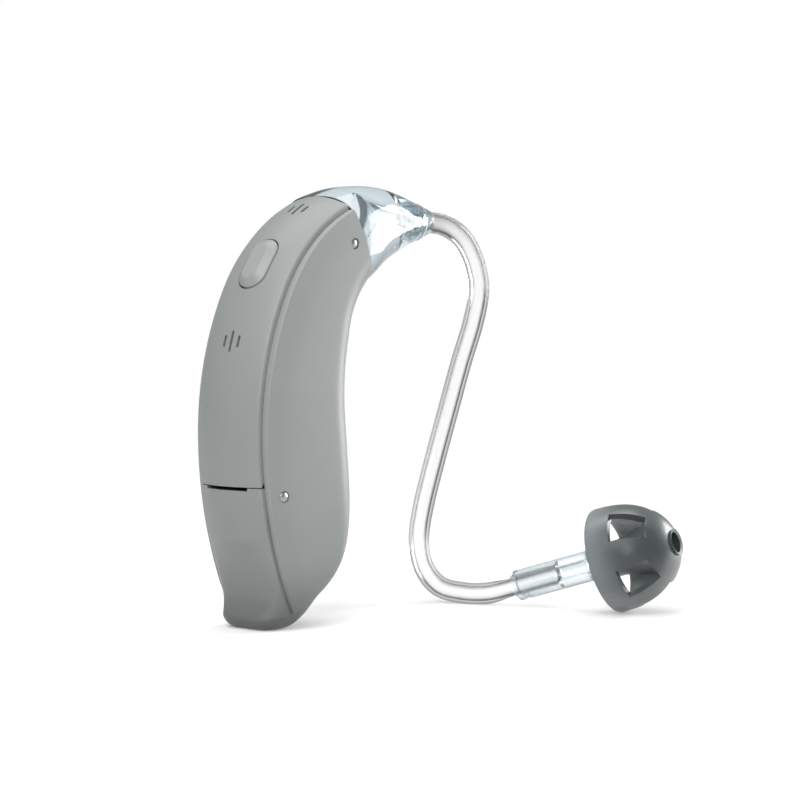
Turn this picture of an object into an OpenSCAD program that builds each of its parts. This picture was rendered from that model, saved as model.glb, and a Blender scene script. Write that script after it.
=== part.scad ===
// Behind-the-ear hearing aid with a clear ear hook, a slim sound tube and an open ear dome.
// +X points forwards to the hook, +Z up, and the wearer's head is on the -Y side.
// The origin is on the floor under the lip of the battery door. Lengths are in millimetres.

/* [Housing] */
// Room on each side of the cell for the door's side and a side shell
side_room = 1.75; // [1.7:0.05:2.2]
// Room behind and ahead of the cell, from the crown of the spine to the front
depth_room = 4.2; // [4.1:0.1:5]
// Depth lost between the deepest place and the hook
top_taper = 3.8; // [3:0.1:4.4]
// Depth lost at the bottom of the shells
heel_drop = 6; // [5:0.1:6.5]
// Length of the rounded heel along the spine
heel_len = 12.5; // [11:0.1:14]
// How far the front of the shells is rounded back
front_round = 3.2; // [2.4:0.1:3.6]
// Wall of the side shells
wall = 0.8; // [0.7:0.05:0.85]
// Distance of the groove line behind the foot
spine_back = 3.2; // [2.8:0.1:3.6]
// Height of the rearmost place of the spine
spine_z = 16.2; // [15.8:0.1:16.8]
// Radius of the groove line below its rearmost place
spine_r_low = 34; // [30:1:40]
// Radius of the groove line above its rearmost place
spine_r_mid = 25.5; // [24:0.5:28]
// Radius of the groove line towards the hook
spine_r_top = 15; // [14:0.5:16]
// Angle at which the top radius takes over
spine_a_mid = 28; // [26:1:30]
// Angle at which the shells end at the hook
spine_a_end = 68.3; // [66:0.1:70]
// Angle at which the shells end at the foot
spine_a_low = 26.2; // [25.8:0.1:26.6]

/* [Spine cover] */
// Width of the shoulder of a side shell beside the raised strip
shoulder_w = 1; // [0.95:0.05:1.2]
// Thickness of the strip at its edge
strip_t = 1.1; // [0.9:0.1:1.3]
// Rise of the crown over the edges of the strip
crown_rise = 0.8; // [0.6:0.05:1]
// Height of the strip over the groove beside it
strip_proud = 0.4; // [0.3:0.05:0.5]
// Width of the groove floor beside the strip
groove_w = 0.5; // [0.4:0.05:0.6]
// Seam between the strip and the side shells
seam_gap = 0.05; // [0.03:0.01:0.08]
// Width of one microphone slit
slit_w = 0.28; // [0.2:0.01:0.35]
// Length of the middle microphone slit
slit_len = 1.8; // [1.4:0.1:2]
// Spacing of the microphone slits
slit_pitch = 0.77; // [0.6:0.01:0.9]

/* [Push button] */
// Width of the button
button_w = 2.9; // [2.5:0.1:3.2]
// Length of the button
button_len = 4.8; // [4.2:0.1:5.2]
// Height of the flat top of the button over the crown
button_proud = 0.38; // [0.3:0.02:0.5]
// Height at which the flanks of the button begin
button_edge = 0.1; // [0.05:0.01:0.2]
// Width of the sloping flank round the flat top
button_flank = 0.62; // [0.4:0.02:0.8]
// Gap round the button
button_gap = 0.12; // [0.08:0.01:0.16]
// Travel of the button
button_travel = 0.25; // [0.15:0.05:0.25]

/* [Battery door] */
// Diameter of the zinc-air cell
cell_d = 7.9; // [7.7:0.1:7.9]
// Thickness of the zinc-air cell
cell_t = 5.4; // [5.2:0.1:5.4]
// Clearance of the cell in its pocket
cell_gap = 0.08; // [0.05:0.01:0.1]
// Distance of the cell's rear edge behind the foot
cell_back = 1.3; // [1.2:0.05:1.4]
// Height of the cell's middle
cell_z = 7; // [6.9:0.05:7.2]
// Distance of the hinge pin behind the foot
hinge_back = 1.05; // [0.9:0.05:1.2]
// Height of the hinge pin
hinge_z = 11.25; // [11:0.05:11.5]
// Diameter of the two steel cross pins
pin_d = 0.9; // [0.8:0.05:1]
// Running clearance of a pin in the door
pin_gap = 0.04; // [0.03:0.01:0.06]
// Height of the finger slot over the door
slot_h = 0.29; // [0.25:0.01:0.35]
// Length of the finger slot across the spine
slot_len = 4.6; // [4:0.1:5]

/* [Ear hook] */
// Length of the hook from the shells to its mouth
hook_len = 10.7; // [10:0.1:11.4]
// Rise of the mouth over the start of the hook
hook_rise = 1.64; // [1.4:0.05:1.9]
// Depth of the hook pin below the crown
hook_pin_d = 3.74; // [3.6:0.02:3.9]
// Distance of the hook pin inside the shells
hook_pin_in = 1.3; // [1.1:0.05:1.4]
// Length of the tongue inside the shells
tongue_len = 2.6; // [2.4:0.1:3]
// Distance of the front microphone inside the shells
front_mic_in = 2.27; // [2.2:0.01:2.5]
// Radius of the hook at its mouth
hook_tip_r = 1.65; // [1.6:0.05:1.9]
// Radius of the sound bore in the hook
hook_bore_r = 0.65; // [0.5:0.05:0.75]
// Radius of the threaded stem
stem_r = 1.3; // [1.2:0.05:1.4]
// Length of the threaded stem
stem_len = 3.6; // [3:0.1:4]
// Pitch of the thread on the stem
thread_pitch = 0.5; // [0.4:0.05:0.6]
// Length of the cone that shows outside the hook
cone_len = 1.7; // [1.4:0.1:2]

/* [Sound tube] */
// Outer diameter of the tube at the hook
tube_od = 1.9; // [1.8:0.05:2]
// Outer diameter of the tube at the dome
tube_end_od = 1.6; // [1.5:0.05:1.8]
// Bore of the tube
tube_id = 1; // [0.8:0.05:1.1]
// Clearance of the tube in its sockets
tube_gap = 0.03; // [0.02:0.01:0.05]
// How far the middle line of the tube falls from the hook
tube_fall = 32.7; // [32.4:0.1:33]
// Outer diameter of the clear barrel behind the dome
barrel_od = 2.7; // [2.5:0.05:2.8]
// Length of the barrel behind the rim of the dome
barrel_back = 9; // [8:0.1:10]
// Length of the barrel's neck inside the dome
barrel_front = 4.2; // [3.8:0.1:4.6]
// How deep the tube sits in the barrel
barrel_socket = 4.3; // [3.5:0.1:5]

/* [Ear dome] */
// Diameter of the skirt of the dome
dome_d = 9.2; // [8.8:0.1:10]
// Length of the dome from the rim to the nose
dome_len = 6.6; // [6:0.1:7.2]
// Wall of the dome
dome_wall = 0.5; // [0.4:0.05:0.6]
// Number of vent windows round the dome
vent_count = 5; // [4:1:6]
// Angle that one vent window takes
vent_angle = 38; // [30:1:40]
// Distance of the rim's middle ahead of the foot
rim_x = 27.8; // [27.4:0.1:28.4]
// Distance of the rim's middle from the middle plane of the housing
rim_y = 15.23; // [14.8:0.1:15.8]
// Heading of the dome from straight ahead towards the head
dome_heading = 73.6; // [70:0.2:78]
// Angle at which the nose of the dome points up
dome_lift = 17.1; // [14:0.1:19]

/* [Hidden] */

$fn = 48;

// One overrun serves every cut that passes through a face
over = 0.5 * wall;

// The housing is as wide and as deep as the cell and the room round it
body_w = cell_t + 2 * side_room;
body_depth = cell_d + depth_room;
strip_w = body_w - 2 * shoulder_w;

// Half widths of the housing
half_w = body_w / 2;
half_strip = strip_w / 2;
shell_lip_y = half_strip + seam_gap;

// Depths below the crown of the spine
floor_d = crown_rise + strip_proud;
strip_floor_d = crown_rise + strip_t;

// Ends of the shells as lengths along the groove line
s_mid = spine_r_mid * spine_a_mid * PI / 180;
s_top = s_mid + spine_r_top * (spine_a_end - spine_a_mid) * PI / 180;
s_low = -spine_r_low * spine_a_low * PI / 180;
s_heel = s_low + heel_len;

// Centres of the three spine arcs
low_c = [spine_r_low - spine_back, spine_z];
mid_c = [spine_r_mid - spine_back, spine_z];
top_c = mid_c + (spine_r_top - spine_r_mid) * [cos(spine_a_mid), -sin(spine_a_mid)];

// The taper towards the hook and the rounding of the heel
taper_share = 1.45;
heel_share = 2.3;
s_deep = s_heel + heel_len * 0.1;

function spine_angle(s) =
    s < 0 ? s / spine_r_low * 180 / PI
    : s < s_mid ? s / spine_r_mid * 180 / PI
    : spine_a_mid + (s - s_mid) / spine_r_top * 180 / PI;

function inward(a) = [cos(a), -sin(a)];
function upward(a) = [sin(a), cos(a)];

// How far a flat piece of this half length leaves a round line of radius r
function sag(half, r) = r - sqrt(r * r - half * half);

// A point in the side view, s along the spine and d below the crown
function spine_point(s, d) =
    let (a = spine_angle(s), depth = d - crown_rise)
    (s < 0 ? low_c - (spine_r_low - depth) * inward(a)
    : s < s_mid ? mid_c - (spine_r_mid - depth) * inward(a)
    : top_c - (spine_r_top - depth) * inward(a));

function crown(y) = crown_rise * pow(y / half_strip, 2);

function heel_t(s) = s < s_heel ? (s_heel - s) / heel_len : 0;

// What is left of a size that rounds off towards the foot
function heel_round(s, share) = 1 - pow(max(0, 1 - pow(min(1, heel_t(s)), share)), 1 / share);

function taper_drop(s) =
    s < s_deep ? 0 : top_taper * pow((s - s_deep) / (s_top - s_deep), taper_share);

function depth_at(s) = body_depth - taper_drop(s) - heel_drop * heel_round(s, heel_share);

// The side face draws in over the last millimetres above the foot
side_draw = 0.6;
side_share = 12;
function half_at(s) = half_w - side_draw * pow(heel_t(s), side_share);
function rounding_at(s) = min(front_round, depth_at(s) / 2);

// Stations along the shells, closer together round the heel
heel_steps = 8;
body_steps = 17;
shell_stations = concat(
    [for (k = [0 : heel_steps - 1]) s_heel - heel_len * cos(90 * k / heel_steps)],
    [for (k = [0 : body_steps]) s_heel + (s_top - s_heel) * k / body_steps]
);

// Shares of the way from the groove to the widest place of a side face: [width, depth]
shoulder_shares = [[0, 0], [0.28, 0.05], [0.54, 0.3], [0.85, 0.62], [1, 1]];
shoulder_depth = 2.6;
front_steps = 9;
front_share = 0.8;
groove_y = half_strip + groove_w;

// How far the front is rounded back at a place y of a section of half width w
function round_back(y, w, rounding) =
    rounding * (1 - pow(sin(acos(min(1, pow(y / w, 1 / front_share)))), front_share));

// One side of a cross-section from the groove to the middle of the front: [y, d]
function side_line(w, edge, depth, first, rounding) = concat(
    [[shell_lip_y, first]],
    [for (p = shoulder_shares)
        [edge + (w - edge) * p[0],
            first + min(shoulder_depth, 0.9 * (depth - rounding - first)) * p[1]]],
    [for (k = [0 : front_steps])
        let (t = 90 * k / front_steps)
        [k == front_steps ? 0 : w * pow(cos(t), front_share),
            depth - rounding * (1 - pow(sin(t), front_share))]]
);

// Faces of a closed solid of rings, each ring an outer line followed by an inner line
function strip_faces(rings, n) = concat(
    [for (r = [0 : rings - 2]) for (i = [0 : n - 2])
        [r * 2 * n + i, r * 2 * n + i + 1, (r + 1) * 2 * n + i + 1, (r + 1) * 2 * n + i]],
    [for (r = [0 : rings - 2]) for (i = [n : 2 * n - 2])
        [r * 2 * n + i + 1, r * 2 * n + i, (r + 1) * 2 * n + i, (r + 1) * 2 * n + i + 1]],
    [for (r = [0 : rings - 2])
        [r * 2 * n + n, r * 2 * n, (r + 1) * 2 * n, (r + 1) * 2 * n + n]],
    [for (r = [0 : rings - 2])
        [r * 2 * n + n - 1, r * 2 * n + 2 * n - 1, (r + 1) * 2 * n + 2 * n - 1, (r + 1) * 2 * n + n - 1]],
    [for (i = [0 : n - 2]) [i, i + n, i + n + 1, i + 1]],
    [for (i = [0 : n - 2])
        let (b = (rings - 1) * 2 * n)
        [b + i, b + i + 1, b + i + n + 1, b + i + n]]
);

// A bent sheet: rings of two lines with the same number of points
module sheet(rings) {
    n = len(rings[0]) / 2;
    polyhedron(points = [for (r = rings) for (p = r) p], faces = strip_faces(len(rings), n));
}

// A closed skin of rings with flat ends
module skin(rings) {
    n = len(rings[0]);
    m = len(rings);
    polyhedron(
        points = [for (r = rings) for (p = r) p],
        faces = concat(
            [[for (i = [0 : n - 1]) i]],
            [for (r = [0 : m - 2]) for (i = [0 : n - 1])
                let (j = (i + 1) % n)
                [r * n + j, r * n + i, (r + 1) * n + i, (r + 1) * n + j]],
            [[for (i = [n - 1 : -1 : 0]) (m - 1) * n + i]]
        )
    );
}

// Puts children on the spine: their X runs inwards from the crown and their Z up the spine
module at_spine(s, d = 0, y = 0) {
    p = spine_point(s, d);
    translate([p[0], y, p[1]]) rotate([0, spine_angle(s), 0]) children();
}

// A cylinder across the housing, centred on the middle plane
module cross_rod(p, r, width) {
    translate([p[0], width / 2, p[1]]) rotate([90, 0, 0]) cylinder(r = r, h = width);
}

// A flat piece drawn in the side view and given a width across the housing
module side_plate(width, y = 0) {
    translate([0, y + width / 2, 0]) rotate([90, 0, 0]) linear_extrude(height = width) children();
}

// A band that follows the spine between two depths, drawn in the side view
module ribbon(from_s, to_s, d, t, steps) {
    line = [for (k = [0 : steps]) from_s + (to_s - from_s) * k / steps];
    polygon(concat(
        [for (s = line) spine_point(s, d)],
        [for (k = [steps : -1 : 0]) spine_point(line[k], d + t)]
    ));
}

// A round rod through points of the side view; its lengths run past each other at the bends
bend_share = 0.45;
module bent_rod(points, r) {
    last = len(points) - 2;
    for (k = [0 : last])
        let (
            v = points[k + 1] - points[k],
            before = k > 0 ? bend_share * r : 0,
            after = k < last ? bend_share * r : 0
        )
        translate([points[k][0], 0, points[k][1]]) rotate([0, atan2(v[0], v[1]), 0])
            translate([0, 0, -before]) cylinder(r = r, h = norm(v) + before + after);
}

// Cross pins and their places in the side view
pin_r = pin_d / 2;
hinge_p = [-hinge_back, hinge_z];
hook_pin_p = spine_point(s_top, hook_pin_d) - hook_pin_in * upward(spine_a_end);
pin_len = body_w - 0.1 * wall;

// The battery cell and its pocket in the door
cell_r = cell_d / 2;
cell_x = cell_r - cell_back;
cell_p = [cell_x, cell_z];
pocket_r = cell_r + cell_gap;
pocket_w = cell_t + 2 * cell_gap;
rim_r = 0.84 * cell_r;

// The finger slot lies between the cover and the door, above the hinge pin
slot_low = 0.55 * pin_d;
slot_top = slot_low + slot_h;
seam_rise = slot_top - 2 * seam_gap;
slot_z = hinge_p[1] + slot_top;
door_top_z = hinge_p[1] + slot_low;

// How far the crown lies behind the hinge pin at the slot
slot_s = -spine_r_low * asin((spine_z - slot_z) / spine_r_low) * PI / 180;
slot_x = hinge_p[0] - spine_point(slot_s, 0)[0];

// The door meets the front wall on a line that points at the hinge pin
seam_s = s_heel - heel_len * cos(90 / heel_steps);
seam_p = spine_point(seam_s, depth_at(seam_s));
seam_dir = (seam_p - hinge_p) / norm(seam_p - hinge_p);
seam_n = [-seam_dir[1], seam_dir[0]];

// The whole swing of the door is cut out of the shells below this line
module door_swing(grow) {
    reach = 3 * body_depth;
    polygon([
        hinge_p + grow * seam_n,
        hinge_p + reach * seam_dir + grow * seam_n,
        hinge_p + reach * seam_dir - reach * seam_n,
        hinge_p - reach * seam_n
    ]);
}

module shell_half() {
    rings = [for (s = shell_stations)
        let (
            depth = depth_at(s),
            w = half_at(s),
            outer = side_line(w, min(groove_y, (shell_lip_y + w) / 2), depth, floor_d, rounding_at(s)),
            w_in = max(w - wall, shell_lip_y + wall / 8),
            inner = side_line(w_in, (shell_lip_y + w_in) / 2, depth - wall, floor_d + wall,
                rounding_at(s) - wall / 2)
        )
        [for (p = concat(outer, inner))
            let (q = spine_point(s, p[1]))
            [q[0], p[0], q[1]]]
    ];
    difference() {
        sheet(rings);
        side_plate(2 * shell_lip_y + seam_gap) door_swing(seam_gap);
        cross_rod(hinge_p, pin_r, body_w + 2 * over);
        cross_rod(hook_pin_p, pin_r, body_w + 2 * over);
    }
}

module shell_left() {
    color("#9aa29f") shell_half();
}

module shell_right() {
    color("#9aa29f") mirror([0, 1, 0]) shell_half();
}

// Points across the strip as shares of its half width, and how far its edge is rounded
cross_shares = [-1, -0.97, -0.8, -0.55, -0.28, 0, 0.28, 0.55, 0.8, 0.97, 1];
edge_round = 0.12;
function strip_drop(share) =
    crown(half_strip * share) + (abs(share) == 1 ? edge_round : 0);

module strip_sheet(from_s, to_s, steps) {
    sheet([for (k = [0 : steps])
        let (s = from_s + (to_s - from_s) * k / steps)
        [for (line = [0, 1]) for (c = cross_shares)
            let (q = spine_point(s, line == 0 ? strip_drop(c) : strip_floor_d))
            [q[0], c * half_strip, q[1]]]
    ]);
}

// Microphone slits stand on the spine at these places
front_mic_s = s_top - front_mic_in;
rear_mic_s = 0.61 * s_mid;
side_slit_share = 0.58;

module slit(len) {
    straight = len - slit_w;
    rotate([0, 90, 0]) translate([0, 0, -over])
        linear_extrude(height = strip_floor_d + 2 * over) {
            square([straight, slit_w], center = true);
            for (e = [-1, 1]) translate([e * straight / 2, 0]) circle(d = slit_w, $fn = 24);
        }
}

module mic_slits(s) {
    at_spine(s) for (k = [-1, 0, 1])
        translate([0, k * slit_pitch, 0]) slit(k == 0 ? slit_len : side_slit_share * slit_len);
}

// The outline of the button, long along the spine
button_s = s_mid + 0.19 * (s_top - s_mid);
module button_outline(grow) {
    straight = button_len - button_w;
    r = button_w / 2 + grow;
    square([straight, 2 * r], center = true);
    for (e = [-1, 1]) translate([e * straight / 2, 0]) circle(r = r);
}

// The door's top edge turns inside this body when the door opens
swing_share = [0, 0.2, 0.4, 0.6, 0.8, 1];
module hinge_relief(rise, half_width) {
    radii = [for (f = swing_share)
        let (y = f * half_width)
        [norm([slot_x - crown(y), rise]), y]];
    translate([hinge_p[0], 0, hinge_p[1]]) rotate([90, 0, 0]) rotate_extrude()
        polygon(concat(
            [[0, half_width]],
            [for (k = [len(radii) - 1 : -1 : 1]) radii[k]],
            [radii[0]],
            [for (k = [1 : len(radii) - 1]) [radii[k][0], -radii[k][1]]],
            [[0, -half_width]]
        ));
}

cover_steps = 18;
module spine_cover() {
    color("#959d9a") difference() {
        strip_sheet(slot_s - strip_t, s_top, cover_steps);
        translate([-body_depth, -body_w, slot_z - 2 * body_w]) cube([2 * body_depth, 2 * body_w, 2 * body_w]);
        hinge_relief(slot_top, half_strip + over);
        mic_slits(front_mic_s);
        mic_slits(rear_mic_s);
        at_spine(button_s) rotate([0, 90, 0]) translate([0, 0, -over])
            linear_extrude(height = strip_floor_d + 2 * over) button_outline(button_gap);
    }
}

// The lower outline of the door in the middle plane: [x, z] as shares of the pin's height
lip_shares = [
    [-0.138, 0.436], [-0.107, 0.33], [-0.093, 0.258], [-0.103, 0.188], [-0.13, 0.134],
    [-0.153, 0.1], [-0.155, 0.074], [-0.134, 0.038], [-0.096, 0.01], [-0.05, 0],
    [0.105, 0], [0.195, 0.03], [0.284, 0.085], [0.373, 0.163], [0.462, 0.245], [0.542, 0.33]
];
lip_steps = len(lip_shares);
crown_steps = 9;
lip_top_s = 0.6 * s_low;
door_t = 1.25 * wall;

// Where the same outline lies at the sides of the door, on the arc of the shells and their end
lip_turn = 5;
foot_d = crown_rise + edge_round;
foot_front_d = depth_at(s_low) - round_back(half_strip, half_at(s_low), rounding_at(s_low));
function lip_side_point(k) =
    k <= lip_turn
    ? spine_point(lip_top_s + (s_low - lip_top_s) * (k + 1) / (lip_turn + 1), foot_d)
    : spine_point(s_low, foot_d + (foot_front_d - foot_d) * (k - lip_turn) / (lip_steps - lip_turn));

// The lip keeps its full shape over most of the width
lip_share = 5;
function lip_point(k, y) =
    let (
        f = 1 - pow(abs(y) / half_strip, lip_share),
        middle = hinge_z * lip_shares[k],
        side = lip_side_point(k)
    )
    side + f * (middle - side);

function door_outer(y) = concat(
    [for (k = [0 : crown_steps - 1])
        spine_point(slot_s + (lip_top_s - slot_s) * k / crown_steps,
            crown(y) + (abs(y) >= half_strip ? edge_round : 0))],
    [for (k = [0 : lip_steps - 1]) lip_point(k, y)],
    [spine_point(seam_s, depth_at(seam_s) - round_back(abs(y), half_at(seam_s), rounding_at(seam_s)))]
);

// The inner line of the door runs down behind the strip and then round the cell
rim_first = 168;
rim_last = 327;
skin_steps = 6;
rim_steps = crown_steps + lip_steps - skin_steps;
door_inner = concat(
    [for (k = [0 : skin_steps - 1])
        spine_point(slot_s + (lip_top_s - slot_s) * k / crown_steps, crown_rise + door_t)],
    [for (k = [0 : rim_steps])
        let (a = rim_first + (rim_last - rim_first) * k / rim_steps)
        cell_p + rim_r * [cos(a), sin(a)]]
);

door_shares = [-1, -0.97, -0.88, -0.75, -0.55, -0.3, 0, 0.3, 0.55, 0.75, 0.88, 0.97, 1];
knuckle_r = pin_d;
module battery_door() {
    color("#959d9a") difference() {
        union() {
            sheet([for (f = door_shares)
                [for (p = concat(door_outer(f * half_strip), door_inner))
                    [p[0], f * half_strip, p[1]]]]);
            cross_rod(hinge_p, knuckle_r, pocket_w);
            side_plate(pocket_w) translate(hinge_p + [-slot_x + crown_rise + door_t / 2, -knuckle_r])
                square([slot_x - crown_rise - door_t / 2, 1.2 * knuckle_r]);
        }
        cross_rod(cell_p, pocket_r, pocket_w);
        cross_rod(hinge_p, pin_r + pin_gap, body_w);
        // The finger slot in the middle, and a hairline seam beside it
        translate([-body_depth, -slot_len / 2, door_top_z]) cube([2 * body_depth, slot_len, body_w]);
        translate([-body_depth, -body_w, hinge_p[1] + seam_rise])
            cube([2 * body_depth, 2 * body_w, body_w]);
        side_plate(body_w) difference() {
            door_swing(body_depth);
            door_swing(-seam_gap);
            translate([-2 * body_depth, 0]) square([2 * body_depth + cell_p[0], 2 * body_depth]);
        }
    }
}

module hinge_pin() {
    color("#c9cccd") cross_rod(hinge_p, pin_r, pin_len);
}

module hook_pin() {
    color("#c9cccd") cross_rod(hook_pin_p, pin_r, pin_len);
}

// The button is a pill with a flat top inside sloping flanks, held by a plate under the strip
button_r = button_w / 2;
plate_grow = 0.2 * button_r;
plate_half = button_len / 2 + plate_grow;
strip_low_r = spine_r_top - strip_t;
plate_t = 0.25 * strip_t;
plate_d = strip_floor_d + sag(plate_half, strip_low_r) + seam_gap;
plate_low_d = plate_d + plate_t;
pill_steps = 8;

function pill_ring(inset, d, rise) =
    let (r = button_r - inset, straight = (button_len - button_w) / 2)
    [for (e = [1, -1]) for (k = [0 : pill_steps])
        let (
            a = 180 * k / pill_steps - 90,
            z = e * (straight + r * cos(a)),
            y = e * r * sin(a)
        )
        [rise ? d + sag(abs(z), spine_r_top + crown_rise) + crown(y) : d, y, z]];

module push_button() {
    color("#98a09d") at_spine(button_s) {
        skin([
            pill_ring(0, plate_low_d, false),
            pill_ring(0, -button_edge, true),
            pill_ring(button_flank, -button_proud, false)
        ]);
        rotate([0, 90, 0]) translate([0, 0, plate_d])
            linear_extrude(height = plate_t) button_outline(plate_grow);
    }
}

// Each microphone hangs in a boot under the strip
mic_size = [0.9, 2.6, 3];
boot_t = 0.25;
boot_half = mic_size[2] / 2 + boot_t;
mic_d = strip_floor_d + sag(boot_half, strip_low_r) + seam_gap + boot_t;
mic_low_d = mic_d + mic_size[0];

// The dome switch under the button sits on the circuit board
board_d = mic_low_d + seam_gap;
board_t = 0.4;
switch_top_d = plate_low_d + button_travel + seam_gap / 2;
switch_size = [board_d - switch_top_d, 2, 1.6];
module button_switch() {
    color("#c8b27a") at_spine(button_s, switch_top_d)
        translate([0, -switch_size[1] / 2, -switch_size[2] / 2]) cube(switch_size);
}

// The clear hook: its middle line starts square to the end of the shells
hook_a = 90 - spine_a_end;
function hook_tangent(a) = [cos(a), sin(a)];
hook_start = spine_point(s_top, depth_at(s_top) / 2) + seam_gap * hook_tangent(hook_a);
hook_mouth = hook_start + [hook_len, hook_rise];
hook_steps = 12;
hook_pull = 0.42 * hook_len;
hook_h = depth_at(s_top) / 2;
function hook_mid(t) =
    let (
        p1 = hook_start + hook_pull * hook_tangent(hook_a),
        p2 = hook_mouth - hook_pull * hook_tangent(0)
    )
    pow(1 - t, 3) * hook_start + 3 * t * pow(1 - t, 2) * p1
        + 3 * t * t * (1 - t) * p2 + pow(t, 3) * hook_mouth;
function hook_tilt(t) = hook_a * pow(1 - t, 1.6);

// Shares of the hook's size at its shell end, from the shells to the mouth
hook_height_shares = [1, 0.985, 0.96, 0.92, 0.875, 0.83, 0.785, 0.735, 0.68, 0.62, 0.55, 0.475, 0];
hook_width_shares = [0.99, 0.97, 0.93, 0.88, 0.83, 0.78, 0.73, 0.68, 0.63, 0.575, 0.51, 0.44, 0];
hook_points = 28;
hook_square_share = 0.72;
function hook_size(k, full, shares) = k == hook_steps ? hook_tip_r : full * shares[k];
function signed_pow(v, e) = sign(v) * pow(abs(v), e);

module hook_form() {
    skin([for (k = [0 : hook_steps])
        let (
            t = k / hook_steps,
            c = hook_mid(t),
            b = hook_tilt(t),
            e = hook_square_share + (1 - hook_square_share) * t,
            hh = hook_size(k, hook_h, hook_height_shares),
            hw = hook_size(k, half_w, hook_width_shares)
        )
        [for (i = [0 : hook_points - 1])
            let (
                a = 360 * i / hook_points,
                y = hw * signed_pow(cos(a), e),
                h = hh * signed_pow(sin(a), e)
            )
            [c[0] - h * sin(b), y, c[1] + h * cos(b)]]
    ]);
}

// The tongue of the hook goes into the shells on both sides of the front microphone
tongue_gap = 0.1;
tongue_top = strip_floor_d + sag(tongue_len, strip_low_r) + tongue_gap;
tongue_low = depth_at(s_top) - wall - 3 * tongue_gap;
tongue_edge = tongue_low - 0.58 * front_round;
tongue_y = half_w - wall - tongue_gap;
notch_y = mic_size[1] / 2 + boot_t + tongue_gap;
socket_r = stem_r + tongue_gap;
mouth_x = hook_mouth[0];
bore_z = hook_mouth[1];
bore_start = [hook_start[0] + 0.3 * hook_len, bore_z];

// The nipple under the pin takes the tube from the receiver
nipple_r = 0.9;
nipple_len = 1.2;
inlet_d = hook_pin_d + pin_r + 0.5 * pin_d + nipple_r;
inlet_p = spine_point(s_top, inlet_d);
nipple_p = inlet_p - (tongue_len + nipple_len) * upward(spine_a_end);

module hook_place() {
    p = spine_point(s_top, 0);
    translate([p[0], 0, p[1]]) rotate([0, spine_a_end, 0]) children();
}

module tongue_section() {
    difference() {
        polygon([
            [tongue_top, -tongue_y], [tongue_edge, -tongue_y], [tongue_low, -tongue_y / 2],
            [tongue_low, tongue_y / 2], [tongue_edge, tongue_y], [tongue_top, tongue_y]
        ]);
        translate([0, -notch_y]) square([hook_pin_d, 2 * notch_y]);
    }
}

module ear_hook() {
    color([0.86, 0.91, 0.93, 0.5]) difference() {
        union() {
            hook_form();
            hook_place() translate([0, 0, -tongue_len])
                linear_extrude(height = tongue_len + over) tongue_section();
            hook_place() translate([inlet_d, 0, -tongue_len - nipple_len])
                cylinder(r = nipple_r, h = nipple_len + over);
        }
        translate([mouth_x - stem_len, 0, bore_z]) rotate([0, 90, 0])
            cylinder(r = socket_r, h = stem_len + over);
        bent_rod([
            nipple_p - over * upward(spine_a_end), inlet_p, bore_start, hook_mouth
        ], hook_bore_r);
        cross_rod(hook_pin_p, pin_r, body_w + 2 * over);
    }
}

// A soft washer on the nipple seals the inside of the shells
seal_t = 0.4;
module hook_seal() {
    color("#6f7674") hook_place() translate([inlet_d, 0, -tongue_len - seal_t]) difference() {
        cylinder(r = 1.6 * nipple_r, h = seal_t);
        translate([0, 0, -over]) cylinder(r = nipple_r, h = seal_t + 2 * over);
    }
}

// The threaded stem screws into the hook, and its cone takes the tube
ridge_count = floor((stem_len - thread_pitch) / thread_pitch);
ridge_h = 0.12 * stem_r;
tube_r = tube_od / 2;
tube_end_r = tube_end_od / 2;
cone_end_r = tube_r + 0.3 * ridge_h + 3 * tube_gap;
module tube_connector() {
    color([0.8, 0.88, 0.93, 0.6]) translate([mouth_x, 0, bore_z]) rotate([0, 90, 0]) difference() {
        union() {
            translate([0, 0, seam_gap]) cylinder(r1 = hook_tip_r, r2 = cone_end_r, h = cone_len);
            translate([0, 0, seam_gap + thread_pitch / 2 - stem_len])
                cylinder(r = stem_r - ridge_h, h = stem_len - thread_pitch / 4);
            for (k = [0 : ridge_count - 1])
                translate([0, 0, -(k + 1) * thread_pitch])
                    cylinder(r = stem_r, h = thread_pitch / 2);
        }
        translate([0, 0, -stem_len]) cylinder(r = tube_id / 2, h = 2 * stem_len);
        translate([0, 0, -stem_len / 2]) cylinder(r = tube_r + tube_gap, h = 2 * stem_len);
    }
}

// The dome's axis and the places along it, counted from the rim away from the nose
dome_r = dome_d / 2;
dome_u = [
    cos(dome_lift) * cos(dome_heading), -cos(dome_lift) * sin(dome_heading), sin(dome_lift)
];
rim_p = [rim_x, -rim_y, dome_r * cos(dome_lift)];
function dome_at(back) = rim_p - back * dome_u;

// The middle line of the heat-set tube: places as shares of its fall, from the end of the cone
tube_shares = [
    [0, 0, 0], [0.056, -0.004, -0.006], [0.105, -0.011, -0.026], [0.147, -0.016, -0.063],
    [0.178, -0.021, -0.122], [0.188, -0.024, -0.19], [0.175, -0.015, -0.275],
    [0.143, 0, -0.382], [0.108, 0.015, -0.508], [0.077, 0.034, -0.637], [0.054, 0.056, -0.765],
    [0.04, 0.062, -0.859], [0.04, 0.046, -0.934], [0.054, 0, -0.986], [0.075, -0.065, -1],
    [0.096, -0.124, -0.999]
];
cone_end = [mouth_x + cone_len + 2 * seam_gap, 0, bore_z];
tube_knots = concat(
    [for (p = tube_shares) cone_end + tube_fall * p],
    [dome_at(barrel_back + tube_od)]
);

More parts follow.
